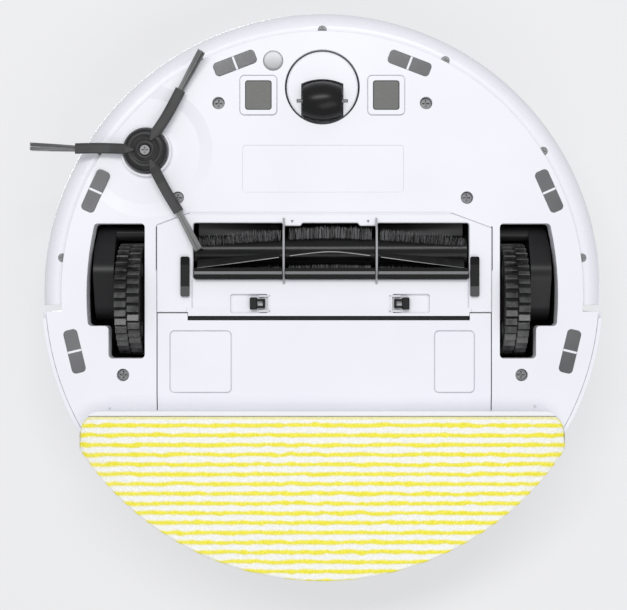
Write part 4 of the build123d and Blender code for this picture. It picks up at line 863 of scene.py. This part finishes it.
class RollerShape:
    """Where the roller's rows run: clear of the guard's ribs, and wound about the axis."""

    def __init__(self):
        core_low, core_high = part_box("brush_core")
        row_low, row_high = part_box("brush_bristles")
        rib_low, rib_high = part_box("guard_ribs")
        self.axis_y = (core_low[1] + core_high[1]) / 2
        self.axis_z = (core_low[2] + core_high[2]) / 2
        self.root = (core_high[2] - core_low[2]) / 2 - 0.3 * MM
        reach = math.hypot(row_high[1] - self.axis_y, row_high[2] - self.axis_z)
        self.tip = min(reach, LONGEST_BRISTLE)
        self.start = row_low[0] + 1.0 * MM
        self.end = row_high[0] - 1.0 * MM
        self.ribs = (rib_low[0] + 1.0 * MM, rib_high[0] - 1.0 * MM)

    def along(self, share):
        return self.start + (self.end - self.start) * share

    def clear(self, x):
        return all(abs(x - rib) > RIB_ROOM for rib in self.ribs)

    def angle_at(self, x, first):
        middle = (self.start + self.end) / 2
        half = (self.end - self.start) / 2
        return first + math.radians(ROW_TWIST) * math.hypot(abs(x - middle) / half, 0.12)

    def around(self, x, angle, r):
        return Vector((x, self.axis_y + r * math.cos(angle), self.axis_z + r * math.sin(angle)))


def make_roller_bristles(shape, finishes):
    strands = Strands(sides=3)
    for row in range(ROLLER_ROWS):
        first = math.radians(FIRST_ROW + 120 * row)
        for n in range(TUFTS_PER_ROW):
            for lane in (-1, 0, 1):
                x = shape.along((n + random.random()) / TUFTS_PER_ROW)
                if not shape.clear(x):
                    continue
                spread = LANE_SPREAD * lane + random.uniform(-2, 2)
                angle = shape.angle_at(x, first) + math.radians(spread)
                length = shape.tip - random.uniform(0.0, 1.2) * MM
                lean = random.uniform(-0.06, 0.06)
                slide = random.uniform(-0.6, 0.6) * MM
                root = shape.around(x, angle, shape.root)
                tip = shape.around(x + slide, angle + lean, length)
                strands.add([root, tip], (0.20 * MM, 0.12 * MM), random.random())
    bristles = new_piece(
        "roller_bristles", strands.points, strands.faces, finishes["bristle"],
        "main_brush", ("brush_bristles",),
    )
    paint_points(bristles, "strand", strands.shades)


def make_roller_blades(shape, finishes):
    """Tapered black rubber blades between the bristle rows, with a painted highlight in pale grey along
    each blade's edge.
    """
    points = []
    faces = []
    highlight_faces = []
    foot = BLADE_HALF_THICK * 1.6
    lip = BLADE_HALF_THICK * 0.22
    edge = shape.tip - 0.4 * MM
    for row in range(ROLLER_ROWS):
        first = math.radians(FIRST_ROW + BLADE_AFTER_ROW + 120 * row)
        previous = None
        for n in range(BLADE_STEPS + 1):
            x = shape.along(n / BLADE_STEPS)
            if not shape.clear(x):
                previous = None
                continue
            angle = shape.angle_at(x, first)
            at = len(points)
            points.append(shape.around(x, angle - foot, shape.root))
            points.append(shape.around(x, angle - lip, edge))
            points.append(shape.around(x, angle + lip, edge))
            points.append(shape.around(x, angle + foot, shape.root))
            if previous is None:
                faces.append((at, at + 1, at + 2, at + 3))
            else:
                highlight_faces.append(len(faces) + 1)
                for k in range(4):
                    m = (k + 1) % 4
                    faces.append((previous + k, at + k, at + m, previous + m))
            if n == BLADE_STEPS or not shape.clear(shape.along((n + 1) / BLADE_STEPS)):
                faces.append((at + 3, at + 2, at + 1, at))
            previous = at
    blades = new_piece("roller_blades", points, faces, finishes["rubber"], "main_brush")
    # the faces along each blade's edge take the painted highlight
    blades.data.materials.append(finishes["blade_edge_highlight"])
    for face in highlight_faces:
        blades.data.polygons[face].material_index = 1


# ---------------------------------------------------------------- side brush
ARM_ANGLES = (181.4, -59.8, 61.5)  # degrees; slightly uneven, as in the photograph
ARM_SHARE = 0.615  # of the brush's reach
ARM_ROOT = 6.8 * MM  # from the hub's axis
ARM_STEPS = 14
STRANDS_PER_ARM = 95
HUB_STEPS = 72
# the hub's outline in mm: radius, and height over its lower face
HUB_PROFILE = (
    (1.3, 7.0), (1.3, 2.0), (3.2, 2.0), (3.25, 0.5), (3.9, 0.05), (6.3, 0.1), (6.8, 0.8), (7.6, 0.9),
    (8.4, 0.35), (9.8, 0.15), (11.4, 0.35), (12.5, 0.9), (13.2, 1.8),
)
# one arm's cross-section, in half widths and half thicknesses
ARM_OUTLINE = (
    (-1, -0.8), (-0.9, -1), (-0.5, -0.85), (0.5, -0.85), (0.9, -1),
    (1, -0.8), (1, 0.8), (0.7, 1), (-0.7, 1), (-1, 0.8),
)


def make_side_brush_hub(finishes, low, high, centre):
    face = low[2]
    radius = (high[0] - low[0]) / 2
    profile = [(r * MM, face + height * MM) for r, height in HUB_PROFILE]
    profile += [(radius, face + 2.9 * MM), (radius, face + 6.3 * MM), (3.5 * MM, face + 6.4 * MM)]
    profile += [(3.5 * MM, high[2]), (1.3 * MM, high[2])]
    points, faces = lathe(profile[::-1], centre, HUB_STEPS)
    new_piece(
        "side_brush_turned_hub", points, faces, finishes["hub"],
        "side_brush", ("side_brush_hub",), smooth=True,
    )


def add_side_brush_arm(points, faces, centre, out, across, arm_end, face):
    """A rubber arm that widens and climbs from the hub, with a slight bow."""
    size = len(ARM_OUTLINE)
    half_thick = 1.5 * MM
    ring = None
    for n in range(ARM_STEPS + 1):
        share = n / ARM_STEPS
        r = ARM_ROOT + (arm_end - ARM_ROOT) * share
        half_width = min(0.9 + 14.0 * share, 3.15) * MM
        rise = min(max((r / MM - 12.0) / 10.0, 0.0), 1.0)
        z = face + (1.15 + 2.0 * rise) * MM
        bow = 0.7 * MM * math.sin(math.pi * share)
        at = len(points)
        for u, v in ARM_OUTLINE:
            lift = Vector((0, 0, z + v * half_thick))
            points.append(centre + out * r + across * (u * half_width + bow) + lift)
        if ring is None:
            faces.append(tuple(at + k for k in range(size)))
        else:
            for k in range(size):
                m = (k + 1) % size
                faces.append((ring + m, ring + k, at + k, at + m))
        ring = at
    faces.append(tuple(ring + k for k in reversed(range(size))))


def make_side_brush(finishes):
    hub_low, hub_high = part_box("side_brush_hub")
    arm_low, arm_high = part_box("side_brush_arms")
    bristle_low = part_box("side_brush_bristles")[0]
    centre = Vector(((hub_low[0] + hub_high[0]) / 2, (hub_low[1] + hub_high[1]) / 2, 0))
    reach = centre.x - bristle_low[0]
    arm_end = reach * ARM_SHARE
    arm_z = (arm_low[2] + arm_high[2]) / 2
    make_side_brush_hub(finishes, hub_low, hub_high, centre)
    points = []
    faces = []
    strands = Strands(sides=4)
    for angle in map(math.radians, ARM_ANGLES):
        out = Vector((math.cos(angle), math.sin(angle), 0))
        across = Vector((-math.sin(angle), math.cos(angle), 0))
        add_side_brush_arm(points, faces, centre, out, across, arm_end, hub_low[2])
        for _ in range(STRANDS_PER_ARM):
            u = random.uniform(-1, 1)
            v = random.uniform(-1, 1)
            start = centre + out * (arm_end - 1.5 * MM) + across * (u * 1.7 * MM)
            start.z = arm_z + 0.2 * MM + v * 0.9 * MM
            far = reach - random.uniform(0.0, 1.0) * MM
            tip = centre + out * far + across * (u * 2.3 * MM + random.uniform(-0.3, 0.3) * MM)
            tip.z = bristle_low[2] + 2.2 * MM + v * 1.4 * MM
            mid = (start + tip) / 2 + across * random.uniform(-0.25, 0.25) * MM
            mid.z += 0.9 * MM
            strands.add([start, mid, tip], (0.20 * MM, 0.18 * MM, 0.13 * MM), random.random())
    new_piece(
        "side_brush_rubber_arms", points, faces, finishes["arm_rubber"],
        "side_brush", ("side_brush_arms",),
    )
    tufts = new_piece(
        "side_brush_tufts", strands.points, strands.faces, finishes["side_bristle"],
        "side_brush", ("side_brush_bristles",),
    )
    paint_points(tufts, "strand", strands.shades)


# ---------------------------------------------------------------- guard latches and tab marks
TAB_ARROW_PLACES = (-18.6 * MM, 28.3 * MM)  # x of the guard's two front tabs


def make_latch(side, finishes):
    """A black slider with a square eye in its neck, and the white bracket around it."""
    node = "guard_latch_" + side
    low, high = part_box(node)
    outward = -1 if side == "left" else 1
    middle_y = (low[1] + high[1]) / 2
    outer = (low[0] + high[0]) / 2 + outward * 5.1 * MM
    face = low[2]

    def add_bar(span, y, half_width, z, chamfer):
        """A bar from one distance inwards of the outer end to another, both in mm."""
        ends = sorted(outer - outward * distance * MM for distance in span)
        corner = (ends[0], y - half_width, z[0])
        block(points, faces, corner, (ends[1], y + half_width, z[1]), chamfer)

    points = []
    faces = []
    neck = (face + 0.8 * MM, high[2])
    add_bar((0.0, 4.5), middle_y, 3.8 * MM, (face, high[2]), 0.5 * MM)
    for offset in (-2.1 * MM, 2.1 * MM):
        add_bar((4.4, 9.0), middle_y + offset, 0.75 * MM, neck, 0.2 * MM)
    add_bar((8.0, 9.4), middle_y, 2.8 * MM, neck, 0.2 * MM)
    new_piece(
        side + "_latch_slider", points, faces, finishes["dark"],
        "latch_" + side, (node,),
    )
    points = []
    faces = []
    bracket = (face + 0.9 * MM, high[2] + 0.05 * MM)
    for offset in (-4.65 * MM, 4.65 * MM):
        add_bar((5.4, 12.4), middle_y + offset, 0.45 * MM, bracket, 0.15 * MM)
    add_bar((11.6, 12.6), middle_y, 5.1 * MM, bracket, 0.15 * MM)
    new_piece(side + "_latch_bracket", points, faces, finishes["plate"], "guard")


def make_tab_arrows(finishes):
    """Small triangular marks on the guard's two front tabs, raised by a hair."""
    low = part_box("brush_guard")[0]
    foot = low[1] + 4.6 * MM
    tip = foot + 1.9 * MM
    half = 1.0 * MM
    points = []
    faces = []
    for x in TAB_ARROW_PLACES:
        at = len(points)
        for z in (low[2] - 0.12 * MM, low[2] + 0.3 * MM):
            points += [(x - half, foot, z), (x + half, foot, z), (x, tip, z)]
        faces += [(at + 2, at + 1, at), (at + 3, at + 4, at + 5)]
        faces += [(at + k, at + (k + 1) % 3, at + 3 + (k + 1) % 3, at + 3 + k) for k in range(3)]
    new_piece("tab_arrows", points, faces, finishes["arrow"], "guard")


# ---------------------------------------------------------------- bumper springs and the painted shade strip behind the guard
SPRING_WIRE = 0.45 * MM  # radius
SPRING_PITCH = 3.4 * MM
SPRING_STEPS = 20  # per turn
SHADE_STRIP_GAP = 2.6 * MM  # from the guard's rear edge to the strip's rear face
SHADE_STRIP_LIFT = 2.6 * MM  # above the guard's lowest face
SHADE_STRIP_ENDS = (-82.4 * MM, 90.4 * MM)
SHADE_STRIP_DEPTH = 1.9 * MM
SHADE_STRIP_HEIGHT = 4.0 * MM


def make_bumper_springs(finishes):
    """The two return springs, which shorten in the robot as the bumper is pressed; here they ride the
    chassis at one length.
    """
    low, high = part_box("bumper_springs")
    coil = (high[2] - low[2]) / 2 - SPRING_WIRE
    centre_x = high[0] - SPRING_WIRE - coil
    centre_z = (low[2] + high[2]) / 2
    start = low[1] + SPRING_WIRE
    end = high[1] - SPRING_WIRE
    turns = (end - start) / SPRING_PITCH
    steps = int(turns * SPRING_STEPS)
    strands = Strands(sides=6)
    for side in (-1, 1):
        path = []
        for n in range(steps + 1):
            angle = 2 * math.pi * turns * n / steps
            x = side * centre_x + coil * math.cos(angle)
            path.append(Vector((x, start + (end - start) * n / steps, centre_z + coil * math.sin(angle))))
        strands.add(path, [SPRING_WIRE] * len(path), 0.0)
    springs = new_piece(
        "bumper_coils", strands.points, strands.faces, finishes["spring"],
        "chassis", ("bumper_springs",), smooth=True,
    )
    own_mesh(springs)


def make_gap_shade_strip(finishes):
    """A matt black strip on the tank's front face, in the gap behind the guard: painted shade that stands
    in for the dark gap.
    """
    guard_low, guard_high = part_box("brush_guard")
    rear = guard_high[1] + SHADE_STRIP_GAP
    floor = guard_low[2] + SHADE_STRIP_LIFT
    points = []
    faces = []
    corner = (SHADE_STRIP_ENDS[0], rear - SHADE_STRIP_DEPTH, floor)
    block(points, faces, corner, (SHADE_STRIP_ENDS[1], rear, floor + SHADE_STRIP_HEIGHT), 0.3 * MM)
    new_piece("gap_shade_strip", points, faces, finishes["gap_shade"], "tank")


# ---------------------------------------------------------------- the whole scene
add_camera()
add_stage_and_lights()
finishes = make_materials()
finish_nodes(finishes)
make_mop_pad(finishes)
for wheel_side in ("left", "right"):
    make_tyre(wheel_side, finishes)
roller = RollerShape()
make_roller_bristles(roller, finishes)
make_roller_blades(roller, finishes)
make_side_brush(finishes)
for latch_side in ("left", "right"):
    make_latch(latch_side, finishes)
make_tab_arrows(finishes)
make_gap_shade_strip(finishes)
make_bumper_springs(finishes)
